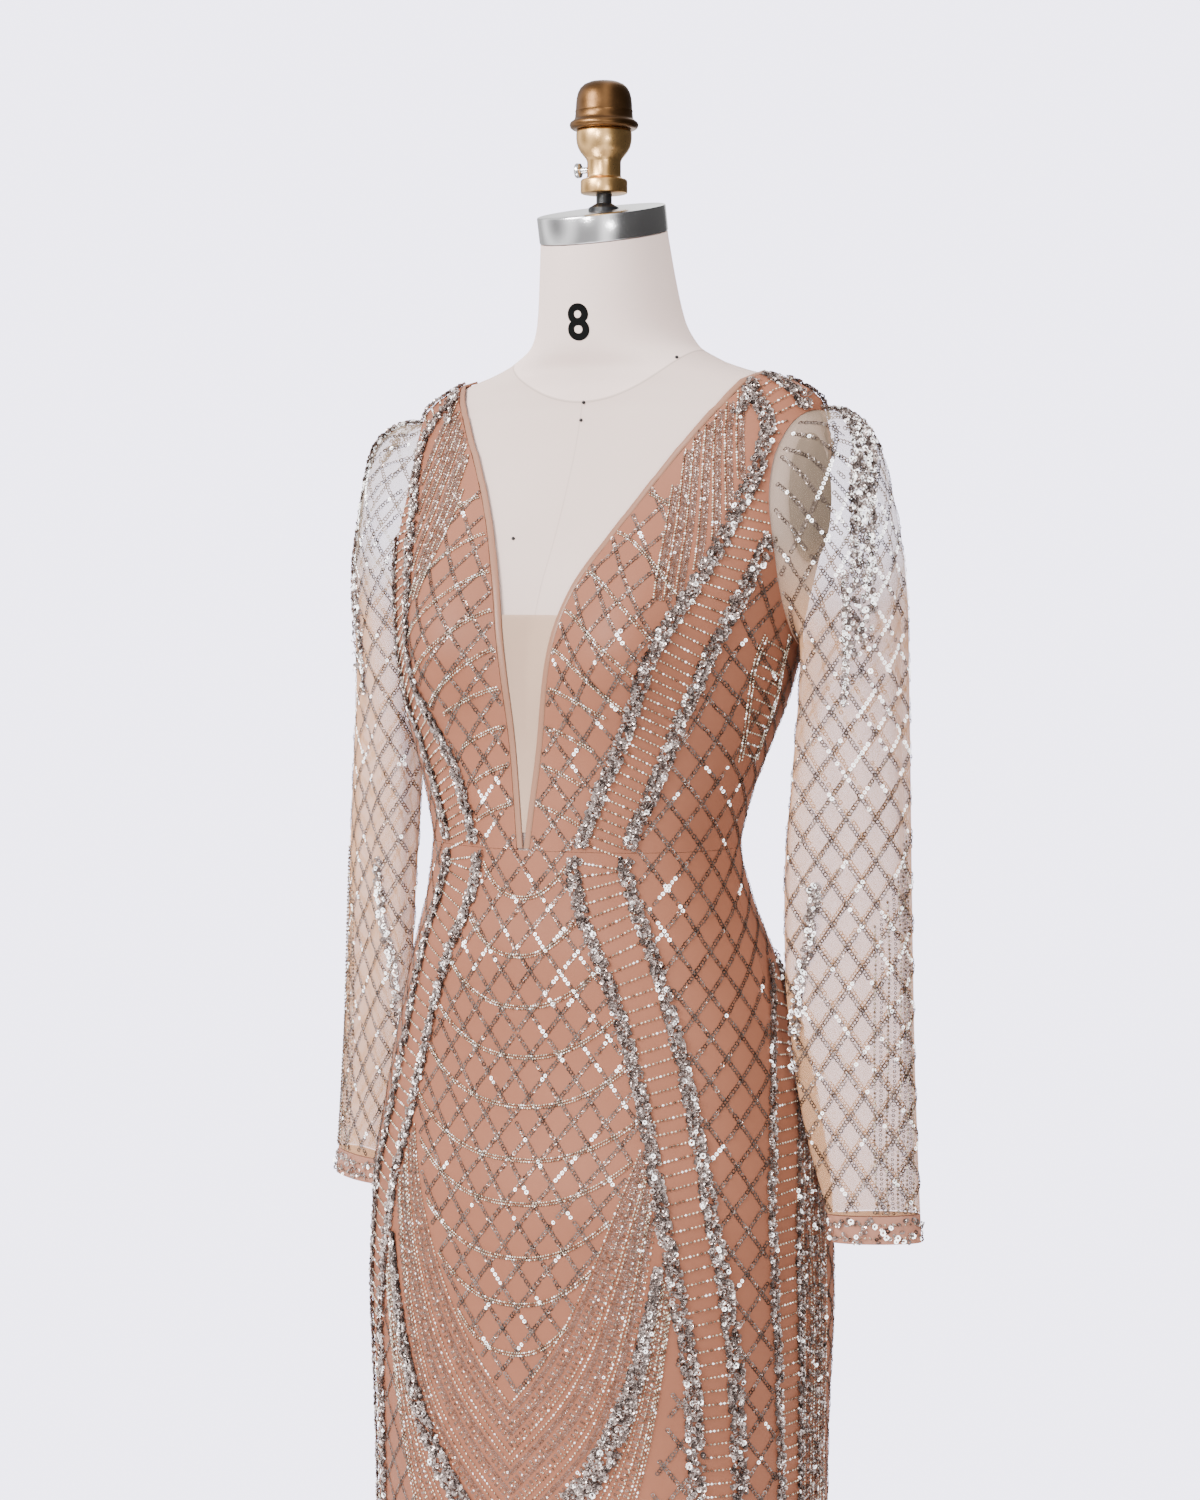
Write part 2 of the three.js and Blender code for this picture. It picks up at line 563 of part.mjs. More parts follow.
function latheSolid(profile, segments) {
  const onAxis = profile[0][0] === 0;
  const points = profile.map(([r, z]) => new THREE.Vector2(r, z));
  if (!onAxis) points.push(points[0].clone());
  return solid(new THREE.LatheGeometry(points, segments).rotateX(Math.PI / 2));
}

// Neck cap, pole stub, collar, finial and clamp screw
function buildNeckTop() {
  const tilt = new THREE.Matrix4().makeRotationX(NECK_TILT);
  const seat = NECK_TOP_Z + SEAM + 0.1;
  const capProfile = (grow) => [[0, -grow], [CAP.radius - CAP.bevel + grow, -grow], [CAP.radius + grow, CAP.bevel - grow],
    [CAP.radius + grow, CAP.height - CAP.bevel + grow], [CAP.radius - CAP.bevel + grow, CAP.height + grow],
    [0, CAP.height + grow]];
  const place = (profile, segments) => {
    const geometry = new THREE.LatheGeometry(profile.map(([r, z]) => new THREE.Vector2(r, z)), segments);
    geometry.rotateX(Math.PI / 2).applyMatrix4(tilt).translate(0, 0, seat);
    return solid(geometry);
  };
  addSolid('neck_cap', place(capProfile(0), 40), FINISH.steel);
  const clear = place(capProfile(SEAM), 40);
  const collarZ = seat + CAP.height;
  const collar = latheSolid([[0, collarZ - 6], [COLLAR.radius, collarZ - 6], [COLLAR.radius, collarZ + 1.5],
    [COLLAR.top, collarZ + COLLAR.height], [POLE_RADIUS, collarZ + COLLAR.height],
    [POLE_RADIUS, FINIAL_FOOT_Z - SEAM], [0, FINIAL_FOOT_Z - SEAM]], 28);
  addSolid('neck_pole', collar.subtract(clear), FINISH.black);

  const lift = (profile) => profile.map(([r, z]) => [r, z + FINIAL_FOOT_Z]);
  addSolid('finial_cup', latheSolid([[0, FINIAL_FOOT_Z], ...lift(FINIAL_CUP).slice(1, -1),
    [0, FINIAL_FOOT_Z + 51.8]], 28), FINISH.brass);
  addSolid('finial_dome', latheSolid(lift(FINIAL_DOME), 28), FINISH.brass);

  const screwFoot = 14 + SEAM;
  const screw = new THREE.LatheGeometry([[0, screwFoot], [SCREW.shankRadius, screwFoot],
    [SCREW.shankRadius, screwFoot + SCREW.shankLength], [SCREW.headRadius, screwFoot + SCREW.shankLength],
    [SCREW.headRadius, screwFoot + SCREW.shankLength + SCREW.headLength],
    [0, screwFoot + SCREW.shankLength + SCREW.headLength]].map(([r, h]) => new THREE.Vector2(r, h)), 16);
  screw.rotateZ(-Math.PI / 2).rotateZ(THREE.MathUtils.degToRad(SCREW.turn)).translate(0, 0, SCREW.z);
  addSolid('clamp_screw', solid(screw), FINISH.steel);
}

function buildStand() {
  const poleTop = FORM_FOOT_Z - SEAM;
  addSolid('stand_base', latheSolid([[0, 0], [BASE.radius - 2, 0], [BASE.radius, 2], [BASE.radius, BASE.thick - 3],
    [BASE.radius - 3, BASE.thick], [0, BASE.thick]], 40), FINISH.base);
  const socketFoot = BASE.thick + SEAM;
  const socketTop = BASE.thick + BASE.bossHeight;
  addSolid('pole_socket', latheSolid([[0, socketFoot], [BASE.bossRadius, socketFoot],
    [BASE.bossRadius, socketFoot + 4], [BASE.bossRadius - 6, socketTop], [0, socketTop]], 28), FINISH.base);
  addSolid('stand_pole', latheSolid([[0, socketTop + SEAM], [STAND_POLE_RADIUS, socketTop + SEAM],
    [STAND_POLE_RADIUS, poleTop], [0, poleTop]], 28), FINISH.black);
}

buildGown();
buildInsert();
buildSleeves();
buildForm();
buildNeckTop();
buildStand();

export default group;
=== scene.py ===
"""Looks of a beaded evening gown standing on a limbless dress form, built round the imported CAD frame.

Tables are in millimetres, as in the part's source. Meshes are in metres, +Z up, with the gown's front
towards -Y and the wearer's left at +X.
"""

import logging
import math
from collections.abc import Callable, Iterable, Sequence
from dataclasses import dataclass, field
from enum import Enum

import bpy
import numpy as np
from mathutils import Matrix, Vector

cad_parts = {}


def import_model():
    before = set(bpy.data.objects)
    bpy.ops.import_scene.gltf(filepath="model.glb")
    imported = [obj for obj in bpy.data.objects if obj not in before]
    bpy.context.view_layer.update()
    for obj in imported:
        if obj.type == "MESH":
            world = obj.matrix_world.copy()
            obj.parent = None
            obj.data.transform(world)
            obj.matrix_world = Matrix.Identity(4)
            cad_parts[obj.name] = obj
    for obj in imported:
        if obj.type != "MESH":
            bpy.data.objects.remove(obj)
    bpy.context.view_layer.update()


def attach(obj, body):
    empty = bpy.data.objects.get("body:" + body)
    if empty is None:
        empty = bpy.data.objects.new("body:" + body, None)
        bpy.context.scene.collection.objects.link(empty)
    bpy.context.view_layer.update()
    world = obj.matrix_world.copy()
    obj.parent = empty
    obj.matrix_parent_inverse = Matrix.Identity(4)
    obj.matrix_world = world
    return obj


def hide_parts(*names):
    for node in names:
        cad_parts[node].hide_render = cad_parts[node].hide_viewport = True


Array = np.ndarray
Mask = Callable[[Array, Array], Array]
Colour = tuple[float, float, float]
Profile = Sequence[tuple[float, float]]
Reach = Callable[[float], float]
Piece = bpy.types.Object
Finish = bpy.types.Material
Socket = bpy.types.NodeSocket

LOG = logging.getLogger("gown")
MM = 0.001
SEAM = 0.3
WALL = 2.0
EASE = 1.2

# Heights above the floor
HEM_Z = 14.0
WAIST_Z = 1050.0
SHELL_TOP_Z = 1446.0
INSERT_FOOT_Z = 1064.0
INSERT_TOP_Z = 1238.0
FORM_FOOT_Z = 712.0
NECK_TOP_Z = 1548.0

# The gown's outer surface: height, half width, y at the centre front and back, y of the side seam, squareness
SECTIONS = (
    (14, 258, -234, 234, -4, 2.0),
    (140, 232, -206, 200, -6, 2.0),
    (300, 208, -174, 168, -6, 2.0),
    (430, 198, -158, 150, -7, 2.05),
    (560, 199, -157, 147, -8, 2.1),
    (680, 203, -157, 147, -8, 2.15),
    (760, 201, -154, 143, -9, 2.15),
    (830, 191, -142, 137, -10, 2.15),
    (900, 175, -136, 124, -14, 2.15),
    (960, 157, -137, 102, -19, 2.1),
    (1010, 142, -130, 76, -25, 2.1),
    (1050, 136, -126, 60, -28, 2.1),
    (1085, 143, -124, 66, -28, 2.1),
    (1130, 158, -121, 80, -25, 2.15),
    (1175, 174, -119, 88, -20, 2.2),
    (1215, 182, -114, 93, -15, 2.3),
    (1260, 187, -100, 95, -6, 2.6),
    (1300, 190, -80, 97, 4, 3.0),
    (1340, 192, -62, 97, 12, 3.0),
    (1375, 193, -48, 95, 17, 2.7),
    (1398, 191, -41, 92, 20, 2.2),
    (1412, 188, -38, 90, 22, 1.9),
    (1424, 170, -38, 88, 22, 1.75),
    (1436, 138, -40, 87, 21, 1.75),
    (1448, 94, -43, 86, 20, 1.9),
    (1460, 72, -47, 84, 18, 2.0),
    (1480, 62, -50, 75, 12, 2.0),
    (1510, 57, -52, 64, 6, 2.0),
    (1548, 53, -53, 53, 0, 2.0),
)
# Half width of the V neckline at each height, and the back neckline's height at each half width
NECKLINE = (
    (1051, 0.4), (1080, 3.6), (1121, 8.5), (1168, 14), (1200, 18.5), (1238, 26.5),
    (1265, 35.5), (1296, 51), (1330, 70), (1366, 92), (1400, 115), (1436, 140),
)
BACK_NECKLINE = ((0, 1398), (45, 1400), (85, 1408), (118, 1422), (140, 1436))
# Dense bands of the front: height, then degrees round from the centre front of the inner and outer band
FRONT_BANDS = (
    (14, 55, 66), (545, 56, 66.5), (620, 55, 65.5), (700, 51.5, 62.7), (764, 48, 59.8), (862, 44.3, 57.2),
    (936, 38, 54), (1010, 27.5, 48.5), (1036, 25.5, 46.5), (1060, 29.5, 49), (1096, 37, 55.5), (1154, 48.5, 62),
    (1210, 55, 67), (1265, 61.5, 72), (1325, 69, 78), (1373, 75, 84), (1396, 77, 85), (1446, 77, 85),
)
# Narrower bands over the hip, at the side of the skirt
HIP_BANDS = (
    (14, 80, 87), (540, 78.5, 85.5), (614, 77, 84.6), (656, 76, 83.6), (697, 75, 83.3), (736, 75, 83.2),
    (776, 75.2, 84.6), (814, 77.5, 87.6), (852, 80, 91), (891, 84, 95.5), (928, 90.5, 101), (960, 97.5, 107),
)
# Soft spots where the lattice is painted as catching the light, with white glowing sequins: distance round, height,
# half width, half height, share
GLINT_SPOTS = (
    (46, 968, 34, 46, 0.42), (-50, 990, 22, 60, 0.34), (112, 1002, 26, 34, 0.36), (84, 902, 22, 30, 0.32),
    (-40, 1085, 22, 34, 0.3), (126, 870, 26, 34, 0.16), (60, 820, 46, 60, 0.07), (10, 735, 60, 70, 0.06),
    (30, 1225, 20, 50, 0.10), (95, 1180, 26, 60, 0.06), (150, 1120, 30, 60, 0.08), (60, 1080, 30, 40, 0.10),
)
# Armhole egg, seen from the side
ARMHOLE_Y, ARMHOLE_Z, ARMHOLE_DEEP, ARMHOLE_TALL, ARMHOLE_TAPER = 15.0, 1307.0, 56.0, 95.0, 0.12
# Sleeve rings: outer end x, y, z, inner end x, y, z, half thickness. The last two are the cuff's.
SLEEVE_ROWS = (
    (212, 18, 1400, 187, 14, 1207, 57),
    (229, 20, 1388, 189, 12, 1200, 56),
    (240, 22, 1368, 189, 10, 1191, 53),
    (250, 24, 1330, 188, 5, 1176, 47),
    (258, 26, 1288, 186, -1, 1154, 40),
    (262, 28, 1240, 184, -9, 1126, 33),
    (264, 28, 1180, 182, -15, 1094, 27),
    (267, 26, 1110, 181, -20, 1050, 23),
    (270, 24, 1040, 182, -23, 1000, 20),
    (273, 23, 970, 184, -24, 945, 18),
    (276, 22, 900, 190, -22, 885, 16),
    (280, 20, 830, 200, -18, 824, 14.5),
    (284, 17, 762, 216, -13, 760, 13),
    (286, 15, 739, 219.5, -12, 737, 12),
)
SLEEVE_END = 13.0
CUFF_END = 14.0
# Shallow folds towards the hem, and the fullness of the bust
FOLDS, FOLD_DEPTH, FOLD_TOP_Z, FOLD_GROWTH = 8, 9.0, 430.0, 1.6
BUST_X, BUST_Z, BUST_WIDE, BUST_ABOVE, BUST_BELOW, BUST_OUT = 88.0, 1212.0, 58.0, 78.0, 62.0, 30.0
# The neckline binding's width, its fold, and the cloth's own thicknesses
BINDING_WIDE = 5.5
BINDING_PROUD, BINDING_ROUND, BINDING_WALL, BINDING_CUT = 1.05, 0.7, 0.4, 0.0125
NET_WALL, CUFF_WALL, MESH_WALL, MESH_DEEP = 0.5, 1.2, 0.6, 0.7
BEAD_MARGIN = 7.0
NECK_SEAM = 1436.0
# The form: neck tilt, arm plates and size number
NECK_TILT = math.radians(12.3)
TILT_FOOT_Z = 1480.0
ARM_CUT_X = 182.0
PLATE_PLACE, PLATE_HALF, PLATE_THICK, PLATE_RIM = (183.4, 17.0, 1332.0), (52.0, 36.0), 2.2, 0.7
NUMBER_PLACE, NUMBER_TALL, NUMBER_BOLD, NUMBER_PROUD = (4.5, -90.0, 1473.5), 40.0, 1.1, 0.25
PINS = ((0.03, 1411.0), (0.02, 1397.0), (-0.42, 1301.0), (0.0, 1212.0), (1.15, 1447.0))
PIN_RADIUS, PIN_PROUD = 1.5, 0.6
# In metres, for the finishes: the seam at the neck's foot, and where the net thins and takes a painted shade over the
# sleeve head
NECK_PIECE = 1.42
HEAD_LEVELS = (1.23, 1.30)


class Slot(Enum):
    """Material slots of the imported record."""

    GOWN = "beaded_net"
    BINDING = "binding_satin"
    INSERT = "insert_mesh"
    SLEEVE = "sleeve_net"
    CUFF = "cuff_satin"
    FORM = "form_linen"
    PLATE = "arm_plate"
    STEEL = "cap_steel"
    BLACK = "black_steel"
    BRASS = "aged_brass"
    IRON = "stand_iron"


class Side(Enum):
    """The wearer's sides, as the sign of x."""

    LEFT = 1
    RIGHT = -1

    @property
    def word(self) -> str:
        """The side's name in lower case."""
        return self.name.lower()


def hermite(t: Array, start: Array, leave: Array, end: Array, arrive: Array) -> Array:
    """Cubic from start to end with the tangents leave and arrive, at shares t of the way."""
    t2, t3 = t * t, t * t * t
    return (2 * t3 - 3 * t2 + 1) * start + (t3 - 2 * t2 + t) * leave + (3 * t2 - 2 * t3) * end + (t3 - t2) * arrive


class MonotoneCurve:
    """Smooth curve through a table's rows, with no humps that the rows don't have."""

    def __init__(self, at: Sequence[float], values: Sequence[float]) -> None:
        """Works out the tangents.

        Args:
            at: rising positions.
            values: the value at each position.
        """
        self.at = np.asarray(at, float)
        self.values = np.asarray(values, float)
        step = np.diff(self.at)
        slope = np.diff(self.values) / step
        before, after = slope[:-1], slope[1:]
        long_after = 2 * step[1:] + step[:-1]
        long_before = step[1:] + 2 * step[:-1]
        with np.errstate(divide="ignore", invalid="ignore"):
            mean = (long_after + long_before) / (long_after / before + long_before / after)
        inner = np.where(before * after <= 0, 0.0, mean)
        self.tangent = np.concatenate([[slope[0]], inner, [slope[-1]]])

    def __call__(self, at: Array) -> Array:
        """The curve's value.

        Args:
            at: positions; those outside the table take its end values.

        Returns:
            The value at each position.
        """
        value = np.clip(np.asarray(at, float), self.at[0], self.at[-1])
        i = np.clip(np.searchsorted(self.at, value, side="right") - 1, 0, len(self.at) - 2)
        step = self.at[i + 1] - self.at[i]
        leave, arrive = step * self.tangent[i], step * self.tangent[i + 1]
        return hermite((value - self.at[i]) / step, self.values[i], leave, self.values[i + 1], arrive)


def curve(rows: Sequence[Sequence[float]], column: int) -> MonotoneCurve:
    """Curve of one column of a table over its first column."""
    return MonotoneCurve([row[0] for row in rows], [row[column] for row in rows])


def unit(v: Array) -> Array:
    """Vectors of length one along the last axis."""
    return v / np.maximum(np.linalg.norm(v, axis=-1, keepdims=True), 1e-12)


def way_along(points: Array) -> Array:
    """Distance from the first of a line's points to each of them."""
    steps = np.linalg.norm(np.diff(points, axis=-2), axis=-1)
    return np.concatenate([np.zeros((*steps.shape[:-1], 1)), np.cumsum(steps, axis=-1)], axis=-1)


@dataclass
class Places:
    """Spots on a cloth's surface with their outward normals, in millimetres."""

    at: Array
    normal: Array


class ClothSurface:
    """A surface over two parameters, from which panels are cut and on which beads are sewn."""

    du = 1e-3
    dv = 0.5
    stride = 0.8
    outward = 1.0

    def point(self, u: Array, v: Array) -> Array:
        """Points in millimetres at the parameters u and v."""
        raise NotImplementedError

    def places(self, u: Array, v: Array) -> Places:
        """Points with their outward normals.

        Args:
            u: first parameter, round the body or limb.
            v: second parameter, along it.

        Returns:
            The places.
        """
        u, v = np.asarray(u, float), np.asarray(v, float)
        across = unit(self.point(u + self.du, v) - self.point(u - self.du, v))
        up = unit(self.point(u, v + self.dv) - self.point(u, v - self.dv))
        return Places(self.point(u, v), unit(np.cross(across, up)) * self.outward)

    def moved(self, u: Array, v: Array, out: Array | float) -> Array:
        """Points moved along the outward normal by out millimetres."""
        spots = self.places(u, v)
        return spots.at + spots.normal * np.asarray(out)[..., None]

    def stations(self, u: Array, v: Array, pitch: float, start: float = 0.0) -> tuple[Array, Array, Array]:
        """Evenly spaced stations on a line, along which beads are sewn.

        Args:
            u: first parameters of the line.
            v: second parameters of the line.
            pitch: distance between stations in millimetres.
            start: distance of the first station from the line's start.

        Returns:
            u, v and the line's direction at each station.
        """
        way = way_along(self.point(u, v))
        at = np.arange(start, way[-1], pitch)

        def spot(distance: Array) -> tuple[Array, Array]:
            """Parameters at a distance along the line."""
            return np.interp(distance, way, u), np.interp(distance, way, v)

        ahead, behind = np.minimum(at + self.stride, way[-1]), np.maximum(at - self.stride, 0.0)
        return *spot(at), unit(self.point(*spot(ahead)) - self.point(*spot(behind)))


class GownSurface(ClothSurface):
    """The gown's outer face: u is the turn from the centre front, v the height."""

    level_gap = 2.0

    def __init__(self) -> None:
        """Reads the section tables and lays out the arc lengths round the body."""
        self.half, self.front, self.back, self.side, self.square = (curve(SECTIONS, i) for i in range(1, 6))
        self.levels = np.arange(HEM_Z, SHELL_TOP_Z + self.level_gap, self.level_gap)
        self.turns = np.linspace(0, math.pi, 361)
        grid = self.point(self.turns[None, :], self.levels[:, None])
        self.arcs = way_along(grid)
        self.wide = grid[..., 0]

    def point(self, u: Array, v: Array) -> Array:
        """Points of the outer face.

        Args:
            u: turn in radians, 0 at the centre front, a quarter turn at the left side seam.
            v: height in millimetres.

        Returns:
            Points in millimetres.
        """
        turn, z = np.broadcast_arrays(np.asarray(u, float), np.asarray(v, float))
        s, c = np.sin(turn), np.cos(turn)
        side = self.side(z)
        depth = np.where(c >= 0, side - self.front(z), self.back(z) - side)
        n = self.square(z)
        reach = ((np.abs(s) / self.half(z)) ** n + (np.abs(c) / depth) ** n) ** (-1 / n)
        opening = np.clip((FOLD_TOP_Z - z) / (FOLD_TOP_Z - HEM_Z), 0, 1)
        reach = reach + FOLD_DEPTH * opening**FOLD_GROWTH * np.cos(FOLDS * turn)
        x = reach * s
        tall = np.where(z > BUST_Z, BUST_ABOVE, BUST_BELOW)
        off = ((np.abs(x) - BUST_X) / BUST_WIDE) ** 2 + ((z - BUST_Z) / tall) ** 2
        bust = BUST_OUT * np.exp(-off) * np.clip(1.6 * c, 0, 1)
        return np.stack([x, side - reach * c - bust, z], axis=-1)

    def _level(self, z: Array) -> Array:
        """Index of the nearest laid-out level."""
        return np.clip(np.rint((z - self.levels[0]) / self.level_gap).astype(int), 0, len(self.levels) - 1)

    def _look_up(self, value: Array, z: Array, read: Callable[[int, Array], Array]) -> Array:
        """What read gives for a value's size at the nearest level, with the value's sign."""
        value, z = np.broadcast_arrays(np.asarray(value, float), np.asarray(z, float))
        level = self._level(z)
        found = np.zeros(value.shape)
        for i in np.unique(level):
            here = level == i
            found[here] = read(i, np.abs(value[here]))
        return np.copysign(found, value)

    def turn_at_arc(self, arc: Array, z: Array) -> Array:
        """Turn at a distance round the cloth from the centre front, in millimetres."""
        return self._look_up(arc, z, lambda i, size: np.interp(size, self.arcs[i], self.turns))

    def turn_at_x(self, x: Array, z: Array, back: bool = False) -> Array:
        """Turn at a half width x, on the front or the back."""
        quarter = len(self.turns) // 2 + 1
        wide = self.wide[:, ::-1] if back else self.wide
        turn = self._look_up(x, z, lambda i, size: np.interp(size, wide[i, :quarter], self.turns[:quarter]))
        return np.copysign(math.pi - np.abs(turn), x) if back else turn

    def arc(self, turn: Array, z: Array) -> Array:
        """Distance round the cloth from the centre front to a turn, signed as the turn."""
        return self._look_up(turn, z, lambda i, size: np.interp(size, self.turns, self.arcs[i]))

    def span(self, z: Array) -> Array:
        """Half the way round the cloth at each height."""
        return self.arcs[self._level(np.asarray(z, float)), -1]


def armhole_point(angle: Array, shrink: float = 0.5) -> tuple[Array, Array]:
    """Y and z of the armhole egg at an angle from its top."""
    deep = (ARMHOLE_DEEP - shrink) * (1 - ARMHOLE_TAPER * np.cos(angle))
    return ARMHOLE_Y - deep * np.sin(angle), ARMHOLE_Z + (ARMHOLE_TALL - shrink) * np.cos(angle)


class SleeveSurface(ClothSurface):
    """A sleeve: u is the angle from its outer edge towards the front, v the ring number from the armhole down."""

    dv = 0.02

    def __init__(self, gown: GownSurface, side: Side) -> None:
        """Reads the ring table.

        Args:
            gown: the bodice that the sleeve is set into.
            side: which sleeve.
        """
        self.gown = gown
        self.sign = float(side.value)
        self.outward = self.sign
        numbers = range(1, len(SLEEVE_ROWS) + 1)
        self.columns = [MonotoneCurve(numbers, [row[i] for row in SLEEVE_ROWS]) for i in range(7)]
        self.rows = np.arange(0, SLEEVE_END + 0.01, 0.05)
        grid = self.point(np.linspace(0, 2 * math.pi, 181)[None, :], self.rows[:, None])
        self.girths = way_along(grid)[:, -1]

    def _ring(self, angle: Array, number: Array) -> Array:
        """A flattened ring's point, on the left side."""
        xo, yo, zo, xi, yi, zi, deep = (column(number) for column in self.columns)
        outer = np.stack([xo, yo, zo], axis=-1)
        inner = np.stack([xi, yi, zi], axis=-1)
        centre = (outer + inner) / 2
        reach = outer - centre
        along = unit(reach)
        across = np.zeros_like(along)
        across[..., 1] = 1.0
        across = unit(across - along * along[..., 1:2])
        calm = np.clip((number - 1) / 3, 0, 1) * np.clip((SLEEVE_END - number) / 1.5, 0, 1)
        fold = 1 + calm * (0.030 * np.sin(5 * angle + 0.35 * number) + 0.018 * np.sin(9 * angle - 0.5 * number))
        flat = reach * np.cos(angle)[..., None] - across * (deep * np.sin(angle))[..., None]
        return centre + flat * fold[..., None]

    def _armhole(self, angle: Array) -> Array:
        """The first ring, level with the bodice at the armhole, on the left side."""
        y, z = armhole_point(angle)
        gown = self.gown
        side = gown.side(z)
        depth = np.where(y < side, side - gown.front(z), gown.back(z) - side)
        n = gown.square(z)
        x = gown.half(z) * (1 - (np.abs(y - side) / depth) ** n) ** (1 / n)
        return np.stack([x, y, z], axis=-1)

    def point(self, u: Array, v: Array) -> Array:
        """Points of the sleeve's outer face.

        Args:
            u: angle in radians.
            v: ring number, 0 at the armhole and 13 at the cuff seam.

        Returns:
            Points in millimetres.
        """
        angle, number = np.broadcast_arrays(np.asarray(u, float), np.asarray(v, float))
        ring = self._ring(angle, np.maximum(number, 1.0))
        t = np.clip(number, 0, 1)[..., None]
        start, first = self._armhole(angle), self._ring(angle, np.ones_like(number))
        ahead = self._ring(angle, np.full_like(number, 1.6))
        leave = (first - start) + np.array([7.0, 0.0, 0.0])
        arrive = (ahead - first) * 0.9 + (first - start) * 0.45
        made = np.where(number[..., None] < 1, hermite(t, start, leave, first, arrive), ring)
        return made * np.array([self.sign, 1.0, 1.0])

    def girth(self, number: Array) -> Array:
        """Way round the sleeve at a ring number."""
        return np.interp(number, self.rows, self.girths)


@dataclass
class Patch:
    """A piece of a surface as parameters and faces, before it becomes a mesh."""

    u: Array
    v: Array
    faces: list[tuple[int, ...]]

    @classmethod
    def grid(cls, us: Array, vs: Array, closed: bool = False) -> "Patch":
        """A patch of quads.

        Args:
            us: first parameters, in order.
            vs: second parameters, in order.
            closed: whether the last column joins the first.

        Returns:
            The patch.
        """
        n, m = len(us), len(vs)
        uu, vv = np.meshgrid(us, vs)
        last = n if closed else n - 1
        faces = [
            (r * n + c, r * n + (c + 1) % n, (r + 1) * n + (c + 1) % n, (r + 1) * n + c)
            for r in range(m - 1)
            for c in range(last)
        ]
        return cls(uu.ravel(), vv.ravel(), faces)

    def trimmed(self, keep: Mask) -> "Patch":
        """The part of the patch where a field is above zero, cut cleanly along its edge.

        Args:
            keep: the field over u and v.

        Returns:
            A new patch.
        """
        value = keep(self.u, self.v)
        us, vs = list(self.u), list(self.v)
        cuts: dict[tuple[int, int], int] = {}

        def crossing(a: int, b: int) -> int:
            """Number of the point where the edge from a to b is cut."""
            key = (min(a, b), max(a, b))
            if key not in cuts:
                t = value[a] / (value[a] - value[b])
                cuts[key] = len(us)
                us.append(self.u[a] + t * (self.u[b] - self.u[a]))
                vs.append(self.v[a] + t * (self.v[b] - self.v[a]))
            return cuts[key]

        faces: list[tuple[int, ...]] = []
        for face in self.faces:
            inside = [value[i] > 0 for i in face]
            if all(inside):
                faces.append(face)
            elif any(inside):
                made: list[int] = []
                for k, i in enumerate(face):
                    j = face[(k + 1) % len(face)]
                    if value[i] > 0:
                        made.append(i)
                    if (value[i] > 0) != (value[j] > 0):
                        made.append(crossing(i, j))
                if len(made) > 2:
                    faces.append(tuple(made))
        used = sorted({i for face in faces for i in face})
        new = {old: k for k, old in enumerate(used)}
        return Patch(
            np.array([us[i] for i in used]),
            np.array([vs[i] for i in used]),
            [tuple(new[i] for i in face) for face in faces],
        )


def link_mesh(name: str, points: Array, faces: Sequence[Sequence[int]]) -> Piece:
    """Makes an object from points and faces.

    Args:
        name: the piece's name.
        points: vertices in millimetres.
        faces: vertex numbers of each face.

    Returns:
        The new object, at the origin.
    """
    loops = np.fromiter((i for face in faces for i in face), np.int32)
    sizes = np.fromiter((len(face) for face in faces), np.int32)
    return link_arrays(name, points, loops, np.concatenate([[0], np.cumsum(sizes)[:-1]]))


def link_arrays(name: str, points: Array, loops: Array, starts: Array) -> Piece:
    """Makes an object from flat arrays of face corners.

    Args:
        name: the piece's name.
        points: vertices in millimetres.
        loops: vertex numbers of all faces, one after the other.
        starts: where each face starts in loops.

    Returns:
        The new object, at the origin.
    """
    mesh = bpy.data.meshes.new(name)
    mesh.vertices.add(len(points))
    mesh.vertices.foreach_set("co", (np.asarray(points) * MM).astype(np.float32).ravel())
    mesh.loops.add(len(loops))
    mesh.loops.foreach_set("vertex_index", loops.astype(np.int32))
    mesh.polygons.add(len(starts))
    mesh.polygons.foreach_set("loop_start", starts.astype(np.int32))
    mesh.update(calc_edges=True)
    mesh.validate()
    made = bpy.data.objects.new(name, mesh)
    bpy.context.scene.collection.objects.link(made)
    return made


def only_select(piece: Piece) -> None:
    """Selects one piece alone and makes it active."""
    if bpy.context.mode != "OBJECT":
        bpy.ops.object.mode_set(mode="OBJECT")
    bpy.ops.object.select_all(action="DESELECT")
    piece.select_set(True)
    bpy.context.view_layer.objects.active = piece


def smooth(piece: Piece, degrees: float = 40.0) -> None:
    """Shades a piece smooth except at edges sharper than the angle."""
    only_select(piece)
    bpy.ops.object.shade_smooth_by_angle(angle=math.radians(degrees))


def settle(piece: Piece) -> None:
    """Puts a piece's place, turn and scale into its mesh."""
    only_select(piece)
    bpy.ops.object.transform_apply(location=True, rotation=True, scale=True)


def started(name: str) -> Piece:
    """Names the primitive that was added last."""
    piece = bpy.context.active_object
    piece.name = name
    return piece


def apply_modifiers(piece: Piece) -> None:
    """Applies all of a piece's modifiers in order."""
    only_select(piece)
    for modifier in list(piece.modifiers):
        bpy.ops.object.modifier_apply(modifier=modifier.name)


def thicken(piece: Piece, wall: float) -> None:
    """Gives a sheet its thickness inwards, in millimetres."""
    shell = piece.modifiers.new("wall", "SOLIDIFY")
    shell.thickness = wall * MM
    shell.offset = -1.0
    shell.use_even_offset = True
    apply_modifiers(piece)


